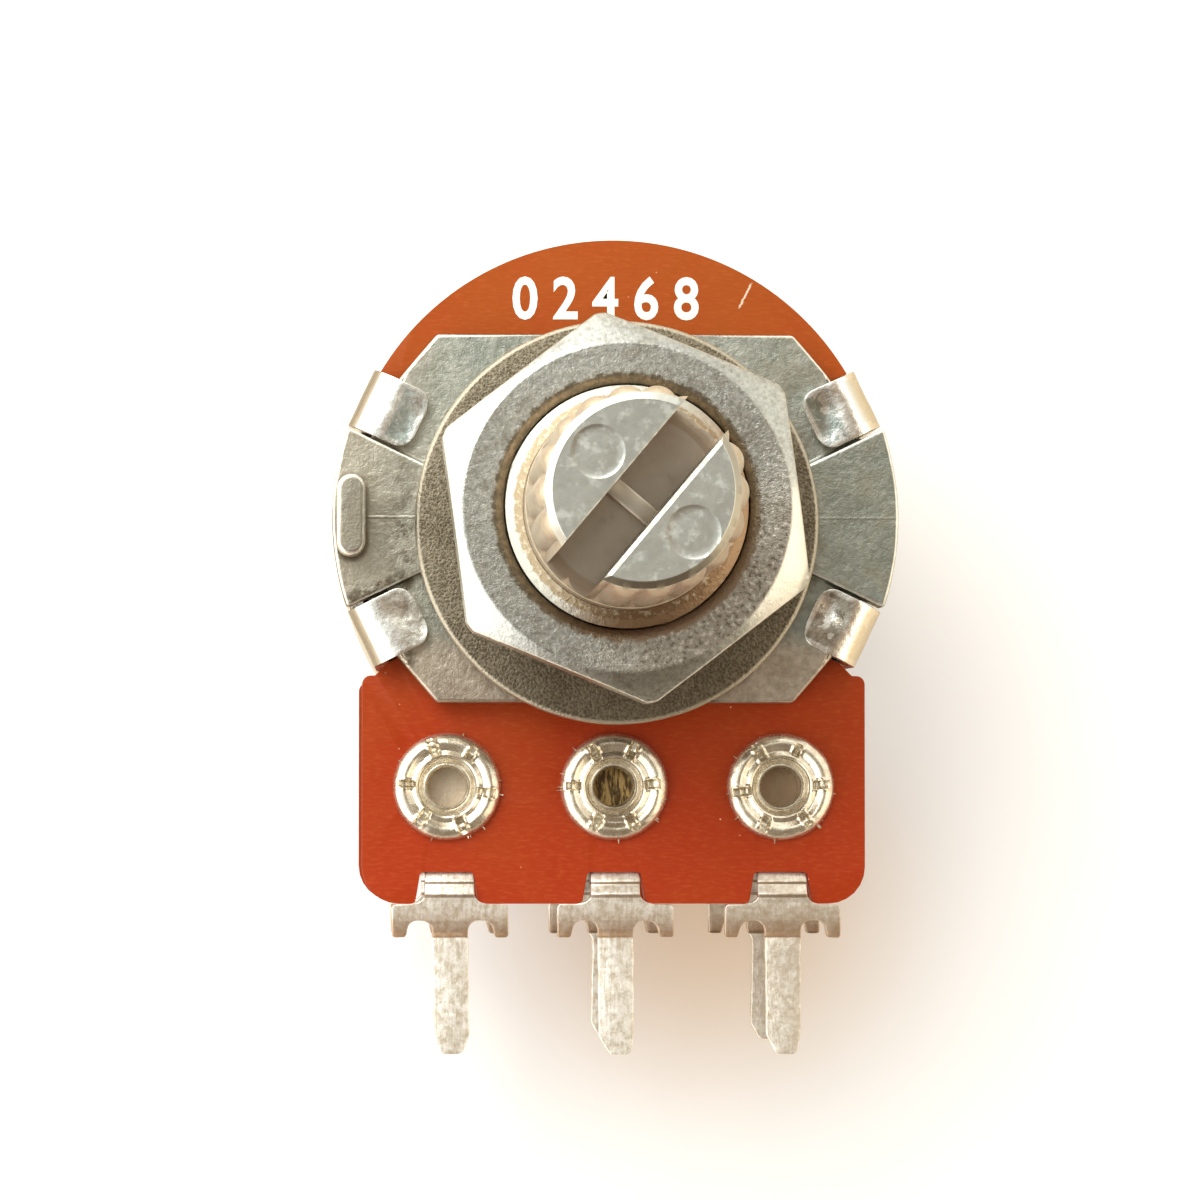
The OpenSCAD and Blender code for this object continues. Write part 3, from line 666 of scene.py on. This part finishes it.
def plain_metal(name, light, dark, rough):
    """Rolled or stamped metal for the working parts inside."""
    f = Finish(name)
    cloud = f.grain(1.1, 3)
    lines = f.grain(1.0, 3, 0.6, f.stretched(1.0, 12, 12))
    base = f.blend((lines * 0.5 + cloud * 0.5).above(0.35, 0.65), dark, light)
    return f.done(base, rough + cloud * 0.1, [(cloud, 0.02), (lines, 0.004)], 1.0)


def print_white():
    f = Finish("white print")
    thin = f.grain(7, 3, 0.7)
    base = f.blend(thin.above(0.55, 0.75) * 0.3, (244, 240, 230), (226, 190, 160))
    return f.done(base, 0.5 + thin * 0.1, [(thin, 0.006)])


BOARD = phenolic_board("orange phenolic board", (158, 77, 20), (160, 50, 13), WAFER_FRONT)
REAR_BOARD = phenolic_board("rear phenolic board", (162, 76, 22), (154, 50, 13), WAFER_FRONT - ROW_PITCH)
COVER = cover_tin()
EYELET = eyelet_tin()
TERMINAL = terminal_tin()
PLASTIC = dark_plastic()
SPRING = plain_metal("spring steel", (176, 178, 180), (132, 134, 138), 0.3)
BRONZE = plain_metal("contact bronze", (214, 160, 96), (178, 122, 66), 0.28)


# ---------------------------------------------------------------- cast front housing

def housing_plate():
    """The cast plate with its raised disc and wings and the locating lug."""
    slab = disc(1.3 * WING_R, WAFER_FRONT, -RAISED, 48)
    for side in (90, -90):
        slab = sliced(slab, direction(side) * PLATE_HALF, direction(side))
    for angle in (STRAP_ANGLE, CORNER_ANGLE):
        for turn in (angle, -angle, 180 - angle, 180 + angle):
            slab = sliced(slab, direction(turn) * SEAT_R, direction(turn))
    seats = [edge for edge in slab.edges
             if all(abs(vert.co.z + RAISED) < 1e-3 for vert in edge.verts)
             and any(all(abs(vert.co.dot(direction(turn)) - SEAT_R) < 1e-3 for vert in edge.verts)
                     for turn in STRAP_TURNS.values())]
    bmesh.ops.bevel(slab, geom=seats, offset=0.14, offset_type="OFFSET", segments=3, profile=0.5,
                    affect="EDGES", clamp_overlap=False, material=-1)
    whole = combined(slab, disc(RAISED_R, WAFER_FRONT, 0), "UNION")
    # the wings lie between the channels for the straps
    lean = math.radians(STRAP_ANGLE)
    apex = Vector(((STRAP_HALF + CHANNEL_ROOM) / math.sin(lean), 0, 0))
    for side in (1, -1):
        wing = disc(WING_R, WAFER_FRONT, 0, 192)
        for way in (1, -1):
            wing = sliced(wing, apex * side, Vector((-side * math.sin(lean), way * math.cos(lean), 0)))
        whole = combined(whole, wing, "UNION")
    ends = [arc(LUG_X, way * LUG_RUN, LUG_R, start, start + 180, 16) for way, start in ((1, 0), (-1, 180))]
    lug = round_edges(plate(ends[0] + ends[1], -RAISED, LUG_TOP), 0.16, 4, 40)
    whole = combined(whole, disc(3.3, -4, 4, 96), "DIFFERENCE")
    round_edges(whole, 0.115, 3, 25, merge=0.05)
    return nudged(joined(whole, lug), 0.012, 1.3, 1)


def bushing():
    """The rear boss and the threaded bushing, with the bore through both."""
    crest_r, root_r, pitch, rows = 3.5, 3.3, 0.75, 13
    thread = bmesh.new()
    points = []
    for row in range(rows):
        base = -1.2 + (row - 1) * pitch
        points += [(crest_r, base), (crest_r, base + 0.1), (root_r, base + 0.38), (root_r, base + 0.46)]
    verts = [thread.verts.new((radius, 0, height)) for radius, height in points]
    edges = [thread.edges.new(pair) for pair in zip(verts, verts[1:])]
    steps = 72
    bmesh.ops.spin(thread, geom=verts + edges, cent=(0, 0, 0), axis=(0, 0, 1),
                   dvec=(0, 0, pitch / steps), angle=FULL_TURN, steps=steps,
                   use_merge=False, use_duplicate=False)
    bmesh.ops.remove_doubles(thread, verts=thread.verts, dist=1e-3)
    for height, normal in ((-1.0, (0, 0, -1)), (BUSHING_TOP - 0.35, (0, 0, 1))):
        thread = sliced(thread, (0, 0, height), normal)
    bmesh.ops.recalc_face_normals(thread, faces=thread.faces)
    collar = lathe([(0, BUSHING_TOP - 0.6), (3.34, BUSHING_TOP - 0.6), (3.51, BUSHING_TOP - 0.42),
                    (3.51, BUSHING_TOP - 0.27), (BORE_TOP_R, BUSHING_TOP), (0, BUSHING_TOP)])
    thread = combined(thread, collar, "UNION")
    thread = combined(thread, disc(BORE_R, -4, 8, 96), "DIFFERENCE")
    boss = lathe(outline([(BORE_TOP_R, BOSS_END, 0.05), (BOSS_R, BOSS_END, 0.12), (BOSS_R, -0.9, 0),
                          (BORE_TOP_R, -0.9, 0)]))
    return joined(thread, boss)


make_piece("cast_front_plate", housing_plate(), "body", cast_zinc(), ["front_housing"])
make_piece("threaded_bushing", bushing(), "body", bushing_zinc(), sharp=26)


# ---------------------------------------------------------------- nut and washer

def nut():
    # a hair of room below lets the nut rest on the washer
    low = NUT_LOW + 0.03
    height = NUT_TOP - low
    flats, turn, top_r, corner_r = 10, 7.6, 4.75, 5.686
    outer_r = flats / 2 / math.cos(math.pi / 6)
    blank = bmesh.new()
    bmesh.ops.create_cone(blank, cap_ends=True, segments=6, radius1=outer_r, radius2=outer_r, depth=height,
                          matrix=Matrix.Translation((0, 0, low + height / 2)) @ turned(turn))
    rise = (corner_r - top_r) * math.tan(math.radians(30))
    cone = lathe([(0, NUT_LOW - 1), (corner_r, NUT_LOW - 1), (corner_r, NUT_TOP - rise),
                  (top_r, NUT_TOP), (top_r - 0.1, NUT_TOP + 0.1), (0, NUT_TOP + 0.1)], 144)
    blank = combined(blank, cone, "INTERSECT")
    low_r, bore_r, mouth_r = 3.93, 3.53, 3.83
    bore = lathe([(0, NUT_LOW - 1), (low_r, NUT_LOW - 1), (low_r, NUT_LOW), (bore_r, NUT_LOW + 0.35),
                  (bore_r, NUT_TOP - 0.13), (mouth_r, NUT_TOP + 0.04), (mouth_r, NUT_TOP + 1),
                  (0, NUT_TOP + 1)], 120)
    blank = combined(blank, bore, "DIFFERENCE")
    round_edges(blank, 0.06, 2, 18, merge=0.03)
    return nudged(blank, 0.01, 1.6, 2)


def washer():
    low, high = mm_box("washer")
    bore_r, outer_r = 3.7, 6.0
    profile = [(bore_r, 0, 0.1), (outer_r, 0, 0.06), (outer_r, high.z, 0.13), (bore_r, high.z, 0.13)]
    return nudged(lathe(outline(profile, 3), 144, centre=(low + high) / 2), 0.01, 0.9, 3)


make_piece("bushing_nut", nut(), "nut", plated_nut(), ["hex_nut"])
make_piece("grained_washer", washer(), "body", grained_steel(), ["washer"])


# ---------------------------------------------------------------- shaft

def knurled(bm):
    """Presses rounded teeth into the upper end."""
    teeth, depth = 18, 0.2
    for vert in bm.verts:
        radius = Vector(vert.co[:2]).length
        if radius < 2.3 or vert.co.z < KNURL_START + 0.02:
            continue
        angle = math.atan2(vert.co.y, vert.co.x) - math.radians(SLOT_ANGLE)
        groove = (abs((angle * teeth / FULL_TURN) % 1 - 0.5) * 2) ** 2
        run_in = min(1, (vert.co.z - KNURL_START) / 0.45)
        fade = clamped((TIP - 0.1 - vert.co.z) / 0.35)
        scale = 1 - depth * groove * run_in * fade / radius
        vert.co.x *= scale
        vert.co.y *= scale
    return bm


def shaft():
    shaft_r, clip_r, knurl_r, collar_low, collar_top = 3.0, 2.5, 2.985, -3.6, -3.2
    side = [(0, collar_low), (shaft_r, collar_low), (shaft_r, collar_top), (clip_r, collar_top),
            (clip_r, BOSS_END), (shaft_r, BOSS_END), (shaft_r, KNURL_START - 0.05), (2.97, KNURL_START)]
    side += [(knurl_r, KNURL_START + step) for step in (0.03, 0.2, 0.5)]
    side += [(knurl_r, height) for height in (9.5, 10.5, 11.5, 12.5, 13.4)]
    tip = [(knurl_r, TIP - 1.1), (2.96, TIP - 0.75), (2.9, TIP - 0.45), (2.81, TIP - 0.26),
           (2.72, TIP - 0.125), (2.51, TIP), (1.2, TIP), (0, TIP)]
    stock = knurled(lathe(side + tip, 216, closed=False))
    across = direction(SLOT_ANGLE - 90)
    shells = [sliced(stock.copy(), (0, 0, SLOT_FLOOR), (0, 0, 1))]
    # each half of the tip has a shallow dimple and a slanting lip along the slot
    for way in (1, -1):
        prong = sliced(stock.copy(), (0, 0, SLOT_FLOOR), (0, 0, -1))
        prong = sliced(prong, across * SLOT_HALF * way, across * -way)
        dimple = lathe([(0, TIP - 0.015), (0.5, TIP - 0.02), (0.64, TIP - 0.024), (0.74, TIP - 0.01),
                        (0.80, TIP + 0.01), (0.80, TIP + 0.3), (0, TIP + 0.3)], 48,
                       centre=across * (1.8 if way > 0 else -1.64))
        prong = combined(prong, dimple, "DIFFERENCE")
        width = 0.12 if way > 0 else 0.04
        slope = (Vector((0, 0, 1)) - across * way * 0.7).normalized()
        shells.append(sliced(prong, across * way * (SLOT_HALF + width) + Vector((0, 0, TIP)), slope))
    stock.free()
    web = bmesh.new()
    place = turned(SLOT_ANGLE) @ Matrix.Translation((0, 0, SLOT_FLOOR + 0.25))
    bmesh.ops.create_cube(web, size=1, matrix=place @ Matrix.Diagonal((0.55, 2 * SLOT_HALF + 0.1, 0.7, 1)))
    round_edges(web, 0.08)
    tail_r, tail_half = 2.0, 1.55
    tail = disc(tail_r, TAIL, collar_low + 0.1, 48)
    for way in (1, -1):
        tail = sliced(tail, across * tail_half * way, across * way)
    round_edges(tail, 0.08, 2, 40)
    return joined(*shells, web, tail)


make_piece("knurled_shaft", shaft(), "spindle", shaft_metal(), ["shaft"], sharp=26)


# ---------------------------------------------------------------- wafers

def wafer(drop):
    """A board with a round head, square shoulders, three rivet holes and notches for straps and tags."""
    head, shoulder, half, shoulder_half, foot = Vector((0, 0.25, 0)), -4.68, 7.535, 7.15, WAFER_LOW.y
    notch_top, notch_half, mouth_half = -10.55, 0.79, 0.95
    # the notches for the straps run on under the wings of the front plate
    near, far = STRAP_HALF + 0.04, STRAP_HALF + 0.64
    corners, last = [], None
    for turn, low, high in ((-STRAP_ANGLE, -near, far), (STRAP_ANGLE, -far, near),
                            (180 - STRAP_ANGLE, -near, far), (180 + STRAP_ANGLE, -far, near)):
        along, across = direction(turn), direction(turn + 90)
        rim = []
        for side in (low, high):
            away = side - across.dot(head)
            rim.append(head + across * away + along * math.sqrt(COVER_R ** 2 - away ** 2))
        first, end = [math.degrees(math.atan2(point.y - head.y, point.x)) % 360 for point in rim]
        if last is not None:
            corners += arc(0, head.y, COVER_R, last, first if first > last else first + 360,
                           max(4, round((first - last) % 360 / 2)))[1:-1]
        deep = [along * (SEAT_R - 0.4 if drop else SEAT_R) + across * side for side in (low, high)]
        corners += [(*rim[0][:2], 0), (*deep[0][:2], 0.12), (*deep[1][:2], 0.12), (*rim[1][:2], 0)]
        last = end
    corners += [(-shoulder_half, shoulder, 0.1), (-half, shoulder, 0.25), (-half, foot, 1.1)]
    for x in PLACES.values():
        corners += [(x - mouth_half, foot, 0.16), (x - notch_half, notch_top, 0.14),
                    (x + notch_half, notch_top, 0.14), (x + mouth_half, foot, 0.16)]
    corners += [(half, foot, 1.1), (half, shoulder, 0.25), (shoulder_half, shoulder, 0.1)]
    holes = [(0, 0, 4.05)] + [(x, EYELET_Y, 0.94) for x in PLACES.values()]
    board = plate(outline(corners, 6), WAFER_BACK - drop, WAFER_FRONT - drop, holes)
    return round_edges(board, 0.09, 3, 25)


make_piece("front_board", wafer(0), "body", BOARD, ["front_wafer"])
make_piece("rear_board", wafer(ROW_PITCH), "body", REAR_BOARD, ["rear_wafer"])


# ---------------------------------------------------------------- eyelets and terminals

def eyelet(x, drop, turn, seed):
    """A tubular rivet whose end is split into six petals and rolled over."""
    rng = random.Random(seed)
    curl = [(0.84, -0.05), (0.84, 0.22), (0.865, 0.30), (0.90, 0.335), (0.94, 0.345), (0.985, 0.32),
            (1.03, 0.285), (1.075, 0.275), (1.12, 0.295), (1.17, 0.34), (1.22, 0.375), (1.28, 0.395),
            (1.34, 0.39), (1.40, 0.365), (1.46, 0.325), (1.52, 0.27), (1.57, 0.20), (1.60, 0.12),
            (1.615, 0.05), (1.60, 0.0), (1.4, -0.03)]
    roll = lathe(curl, 240)
    splits = [(math.radians(60 * split + rng.uniform(-4, 4)), rng.uniform(0.075, 0.11),
               rng.uniform(1.38, 1.5), rng.uniform(0.9, 1.0)) for split in range(6)]
    for vert in roll.verts:
        if vert.co.z < 0.1:
            continue
        radius = Vector(vert.co[:2]).length
        angle = math.atan2(vert.co.y, vert.co.x)
        for place, half, outer, inner in splits:
            beside = abs((angle - place + math.pi) % FULL_TURN - math.pi) * radius
            inside = clamped((radius - inner) / 0.05) * clamped((outer - radius) / 0.07)
            sunk = clamped((half + 0.03 - beside) / 0.045)
            lip = max(0, 1 - abs(beside - half - 0.06) / 0.06)
            vert.co.z += inside * (0.04 * lip - 0.17 * sunk)
    back = WAFER_BACK - WAFER_FRONT - 0.4
    barrel = lathe([(0.03, back - 0.2), (0.03, back - 0.1), (0.42, back - 0.07), (0.56, back + 0.06),
                    (0.56, -0.35), (0.58, -0.12), (0.61, 0.02), (0.63, 0.06), (0.66, 0.065),
                    (0.70, 0.05), (0.75, 0.10), (0.80, 0.17), (0.85, 0.22), (0.89, 0.16), (0.925, back),
                    (1.43, back), (1.475, back - 0.05), (1.475, back - 0.15), (1.43, back - 0.2)], 72)
    shells = [roll, barrel]
    for _ in range(9):
        spin = Matrix.Rotation(rng.uniform(0, FULL_TURN), 4, "Z")
        length = rng.uniform(0.06, 0.2)
        lean = Matrix.Rotation(rng.uniform(1.1, 1.5), 4, "Y")
        slide = Matrix.Translation((1.57 + length / 3, 0, rng.uniform(0.05, 0.12)))
        burr = bmesh.new()
        bmesh.ops.create_cone(burr, cap_ends=True, segments=6, radius1=0.035, radius2=0.01, depth=length,
                              matrix=spin @ slide @ lean)
        shells.append(burr)
    whole = joined(*shells)
    place = Matrix.Translation((x, EYELET_Y, WAFER_FRONT - drop)) @ turned(turn)
    bmesh.ops.transform(whole, matrix=place, verts=whole.verts)
    return nudged(whole, 0.012, 0.35, seed)


# how far the front of a tag stands in front of the back of its board, down its length
TAG_SIDE = [(-10.30, 0.0), (-10.38, 0.16), (-10.44, 0.56), (-10.50, 0.64), (-10.80, 0.83), (-10.86, 0.84),
            (-10.90, 0.81), (-10.94, 0.82), (-11.18, 0.98), (-11.24, 0.99), (-11.34, 0.96), (-11.46, 0.90),
            (-11.6, 0.86), (-12.0, 0.78), (-12.25, 0.70), (-12.48, 0.58), (-12.52, 0.72), (-12.7, 0.72),
            (-16.1, 0.66)]


def tag_height(y):
    for (upper, first), (lower, last) in zip(TAG_SIDE, TAG_SIDE[1:]):
        if lower <= y <= upper:
            run = (upper - y) / (upper - lower)
            return first + (last - first) * run
    return TAG_SIDE[0][1] if y > TAG_SIDE[0][0] else TAG_SIDE[-1][1]


def terminal(x, drop, seed, tip, lean, short, aside):
    """A stamped tag: a strip that steps forward through the notch, two feet and a flat pin."""
    feet_top, feet_end = WAFER_LOW.y - 0.02, WAFER_LOW.y - 1.02
    arch_top, pin_end = feet_end + 0.52, PIN_END + short
    neck_half, foot_half, tip_half = 0.735, 1.74, 0.32
    right = [(neck_half, EYELET_Y - 1.2, 0), (neck_half, feet_top + 0.1, 0.3), (1.2, feet_top, 0.2),
             (foot_half, feet_top, 0.08), (foot_half, feet_end, 0.06), (1.34, feet_end, 0.12),
             (1.22, arch_top, 0.32), (0.54, arch_top, 0.32),
             (0.515, pin_end + 0.55, 0.4), (tip + tip_half, pin_end, 0.22)]
    left = [(-px, py, radius) for px, py, radius in reversed(right)]
    left[0] = (tip - tip_half, pin_end, 0.22)
    pad = arc(0, EYELET_Y, 1.475, 180 + 54, -54, 40)
    sheet = plate(outline(pad + right + left, 6), -0.4, 0)
    round_edges(sheet, 0.09, 3, 40)
    # cuts across the tag let it bend
    lines = [y for y, _ in TAG_SIDE[:-1]] + [-10.56, -10.65, -10.76, -10.98, -11.06, -11.15, -11.26, -11.4]
    lines += [-12.9 - cut * 0.2 for cut in range(15)]
    for line in lines:
        bmesh.ops.bisect_plane(sheet, geom=whole_of(sheet), dist=1e-5, plane_co=(0, line, 0),
                               plane_no=(0, 1, 0))
    for vert in sheet.verts:
        down = clamped((-9.6 - vert.co.y) / 6)
        vert.co.z += tag_height(vert.co.y)
        pin = clamped((feet_end + 0.1 - vert.co.y) / 0.3) if abs(vert.co.x) < 0.6 else 0
        vert.co.x += lean * math.sqrt(down) + aside * pin * (1 - down)
    bmesh.ops.translate(sheet, verts=sheet.verts, vec=(x, 0, WAFER_BACK - drop))
    return nudged(sheet, 0.03, 0.7, seed)


# each column's turn of the eyelet, shift of the pin's tip and lean of the pin; the rear pins lean more
COLUMNS = {"left": (-6, 0.0, 0.16), "middle": (0, 0.12, 0.08), "right": (5, 0.08, 0.1)}
ROWS = (("front", 0.0, 1, 0, 0, 0), ("rear", ROW_PITCH, 11, 0.16, 0.18, 0.3))
for row, drop, start, more, short, aside in ROWS:
    for seed, (side, (turn, tip, lean)) in enumerate(COLUMNS.items(), start=start):
        make_piece(f"{row}_{side}_rivet", eyelet(PLACES[side], drop, turn, seed), "body",
                   EYELET, [f"{row}_eyelet_{side}"])
        make_piece(f"{row}_{side}_tag", terminal(PLACES[side], drop, seed, tip, lean + more, short, aside),
                   "body", TERMINAL, [f"{row}_terminal_{side}"])


# ---------------------------------------------------------------- rear cover

def strap(turn, seed):
    """A strap of the cover that stands up its side and folds over the front plate."""
    rng = random.Random(seed)
    fold_r, reach, corner_r = 0.95, 1.94, 0.5
    foot = COVER_FRONT - 0.4
    rise = -fold_r - foot
    bend = fold_r * math.pi / 2
    end = rise + bend + reach - fold_r
    strip = bmesh.new()
    bmesh.ops.create_grid(strip, x_segments=46, y_segments=16, size=0.5)
    for vert in strip.verts:
        along = vert.co.x + 0.5
        # long steps up the side, short ones round the fold and on the tab
        way = along / 0.3 * rise if along < 0.3 else rise + (along - 0.3) / 0.7 * (end - rise)
        half = STRAP_HALF
        over = way - (end - corner_r)
        if over > 0:
            half -= corner_r - math.sqrt(max(0, corner_r ** 2 - over ** 2))
        vert.co = Vector((way, vert.co.y * 2 * half, 0))
    bmesh.ops.solidify(strip, geom=list(strip.faces), thickness=COVER_WALL)
    bmesh.ops.recalc_face_normals(strip, faces=strip.faces)
    top = max(vert.co.z for vert in strip.verts)
    for vert in strip.verts:
        vert.co.z -= top
    round_edges(strip, 0.1, 3, 50)
    dents = [[rng.uniform(*span) for span in ((0.25, 0.9), (-0.5, 0.5), (0.02, 0.05), (0.3, 0.5))]
             for _ in range(4)]
    for vert in strip.verts:
        way, side, depth = vert.co.x, vert.co.y, -vert.co.z
        for along, across, amount, size in dents:
            gap = ((way - rise - bend - along) / size) ** 2 + ((side - across) / size) ** 2
            depth += amount * math.exp(-gap)
        if way < rise:
            wall_r = COVER_R - 0.02 + (STRAP_R - COVER_R + 0.02) * way / rise
            vert.co = (wall_r - depth, side, foot + way)
        elif way < rise + bend:
            angle = (way - rise) / fold_r
            vert.co = (STRAP_R - fold_r + (fold_r - depth) * math.cos(angle), side,
                       -fold_r + (fold_r - depth) * math.sin(angle))
        else:
            vert.co = (STRAP_R - fold_r - (way - rise - bend), side, -depth)
    bmesh.ops.rotate(strip, verts=strip.verts, cent=(0, 0, 0), matrix=turned(turn).to_3x3())
    return nudged(strip, 0.015, 0.8, seed)


def rear_can():
    """A round can with one flat side and a shallow stamped ring in its back."""
    edge_r, flat = 0.8, 6.225
    edge = arc(COVER_R - edge_r, BACK + edge_r, edge_r, -90, 0, 7)
    profile = [(0, BACK + 0.16), (1.6, BACK + 0.16), (1.85, BACK + 0.1), (2.1, BACK)]
    profile += [(px, py) for px, py, _ in edge] + [(COVER_R, COVER_FRONT), (0, COVER_FRONT)]
    outer = sliced(lathe(profile, 144), (0, -flat, 0), (0, -1, 0))
    round_edges(outer, 0.3, 4, 40, lambda e: all(abs(v.co.y + flat) < 1e-3 for v in e.verts)
                and max(v.co.z for v in e.verts) < COVER_FRONT - 1e-3)
    inner = disc(COVER_R - COVER_WALL, BACK + COVER_WALL, COVER_FRONT + 1, 144)
    inner = sliced(inner, (0, COVER_WALL - flat, 0), (0, -1, 0))
    return nudged(combined(outer, inner, "DIFFERENCE"), 0.015, 2.5, 5)


make_piece("rear_can", rear_can(), "body", COVER, ["rear_cover"])
for seed, (name, turn) in enumerate(STRAP_TURNS.items(), start=21):
    make_piece(f"{name}_strap", strap(turn, seed), "body", COVER)


# ---------------------------------------------------------------- print

def number_row(text, width, height, left, bottom):
    """Plain white figures laid on the head of the front board."""
    curve = bpy.data.curves.new("figures", "FONT")
    curve.body = text
    curve.extrude = 0.01
    curve.offset = 0.022
    curve.resolution_u = 4
    source = placed("figures", curve)
    bm = shape_of(source)
    bpy.data.objects.remove(source)
    bpy.data.curves.remove(curve)
    low, high = [Vector([pick(vert.co[axis] for vert in bm.verts) for axis in range(3)])
                 for pick in (min, max)]
    size = high - low
    for vert in bm.verts:
        part = vert.co - low
        vert.co = (left + part.x / size.x * width, bottom + part.y / size.y * height,
                   WAFER_FRONT - 0.02 + part.z / size.z * 0.03)
    bmesh.ops.remove_doubles(bm, verts=bm.verts, dist=1e-4)
    bmesh.ops.recalc_face_normals(bm, faces=bm.faces)
    return bm


make_piece("printed_figures", number_row("0 2 4 6 8", 5.6, 1.32, -3.05, 6.0), "body",
           print_white())


# ---------------------------------------------------------------- inner parts keep their shape

INNER = {"middle_housing": PLASTIC, "front_rotor": PLASTIC, "rear_rotor": PLASTIC,
         "front_wiper": BRONZE, "rear_wiper": BRONZE, "retaining_clip": SPRING}
for node_name, finish in INNER.items():
    node = bpy.data.objects[node_name]
    node.data.materials.clear()
    node.data.materials.append(finish)


# ---------------------------------------------------------------- studio

def studio():
    scene = bpy.context.scene
    floor_mesh = bpy.data.meshes.new("floor")
    bm = bmesh.new()
    bmesh.ops.create_grid(bm, x_segments=1, y_segments=1, size=1.5)
    bmesh.ops.translate(bm, verts=bm.verts, vec=(0, 0, (BACK - 0.02) * MM))
    bm.to_mesh(floor_mesh)
    bm.free()
    placed("floor", floor_mesh)
    f = Finish("pale floor")
    rays = f.node("ShaderNodeLightPath").socket.node.outputs
    seen, mirrored = Value(f, rays["Is Camera Ray"]), Value(f, rays["Is Glossy Ray"])
    # a painted warm shadow lies on the floor round the pins, and the rest of the floor glows a little for
    # the camera
    aside, below = f.x - 4, f.y + 12
    shade = ((aside * aside * 0.8 + below * below) ** 0.5).below(0.5, 8.5)
    # the floor further out on the window side glows for mirrored rays, a painted reflection that edges
    # which mirror it find bright
    far = f.away()
    sheen = mirrored * far.above(24, 70) * (0.2 + ((f.y * 0.34 - f.x * 0.94) / far).above(-0.3, 0.5) * 0.8)
    glow = f.mix((1 - shade) * seen, (0, 0, 0), (0.16, 0.18, 0.20))
    glow = f.mix(sheen, glow, (1.2, 1.18, 1.1))
    paper = f.blend(shade, (236, 232, 229), (240, 222, 204))
    floor_mesh.materials.append(f.done(f.blend(seen, (232, 220, 200), paper), 0.9, Specular_IOR_Level=0.0,
                                       Emission_Color=glow, Emission_Strength=1.0))

    light = bpy.data.lights.new("upper left window", "AREA")
    light.shape = "SQUARE"
    light.size = 0.40
    light.energy = 2.6
    light.color = (1.0, 0.985, 0.95)
    lamp = placed("upper left window", light)
    lamp.location = (-0.28, 0.38, 0.62)
    lamp.rotation_euler = (-lamp.location).to_track_quat("-Z", "Y").to_euler()

    world = bpy.data.worlds.new("studio")
    scene.world = world
    world.use_nodes = True
    w = Nodes(world.node_tree)
    x, y, z = w.axes(w.node("ShaderNodeTexCoord", output="Generated"))
    level = (x * x + y * y + 1e-6) ** 0.5
    # the bright side on the upper left reaches nearly overhead, the lower right is brown and dim
    overhead = w.mix((y * 0.6 - x * 0.8).above(-0.22, 0.30), (0.34, 0.25, 0.17), (0.86, 0.90, 0.85))
    tone = w.mix(z.above(0.2, 0.7), (0.58, 0.50, 0.40), overhead)
    band = z.above(-0.3, -0.1) * z.below(0.66, 0.9)
    # the windows, the wall on the upper right, the warm wall, the wall that the nut mirrors, the dark side
    for east, north, low, high, heights, tint in (
            (-0.94, 0.34, 0.02, 0.35, band, (2.5, 2.47, 2.36)),
            (0.8, 0.6, 0.6, 0.9, band, (1.45, 1.4, 1.27)),
            (0.93, -0.37, 0.9, 0.99, band, (1.6, 1.3, 0.92)),
            (0.951, -0.309, 0.87, 0.94, z.above(0.15, 0.35) * z.below(0.66, 0.8), (2.05, 1.9, 1.55)),
            (0.2, -0.98, 0.6, 0.85, z.above(0.0, 0.2) * 0.8, (0.20, 0.15, 0.11))):
        facing = (x * east + y * north) / level
        tone = w.mix(facing.above(low, high) * heights, tone, tint)
    w.put(w.tree.nodes["Background"].inputs["Color"], tone)
    w.put(w.tree.nodes["Background"].inputs["Strength"], 1.0)

    camera = bpy.data.cameras.new("camera")
    camera.sensor_width = 36
    camera.lens = 191.86
    camera.clip_start, camera.clip_end = 0.01, 10
    holder = placed("camera", camera)
    across = Vector((0.998840, 0.000111, 0.048157))
    up = Vector((-0.001928, 0.999288, 0.037687))
    back = Vector((-0.048119, -0.037736, 0.998129))
    turn = Matrix((across, up, back)).transposed().to_4x4()
    holder.matrix_world = Matrix.Translation(Vector((-9.641, -9.641, 190.0)) * MM) @ turn
    scene.camera = holder
    scene.view_settings.view_transform = "Standard"


studio()
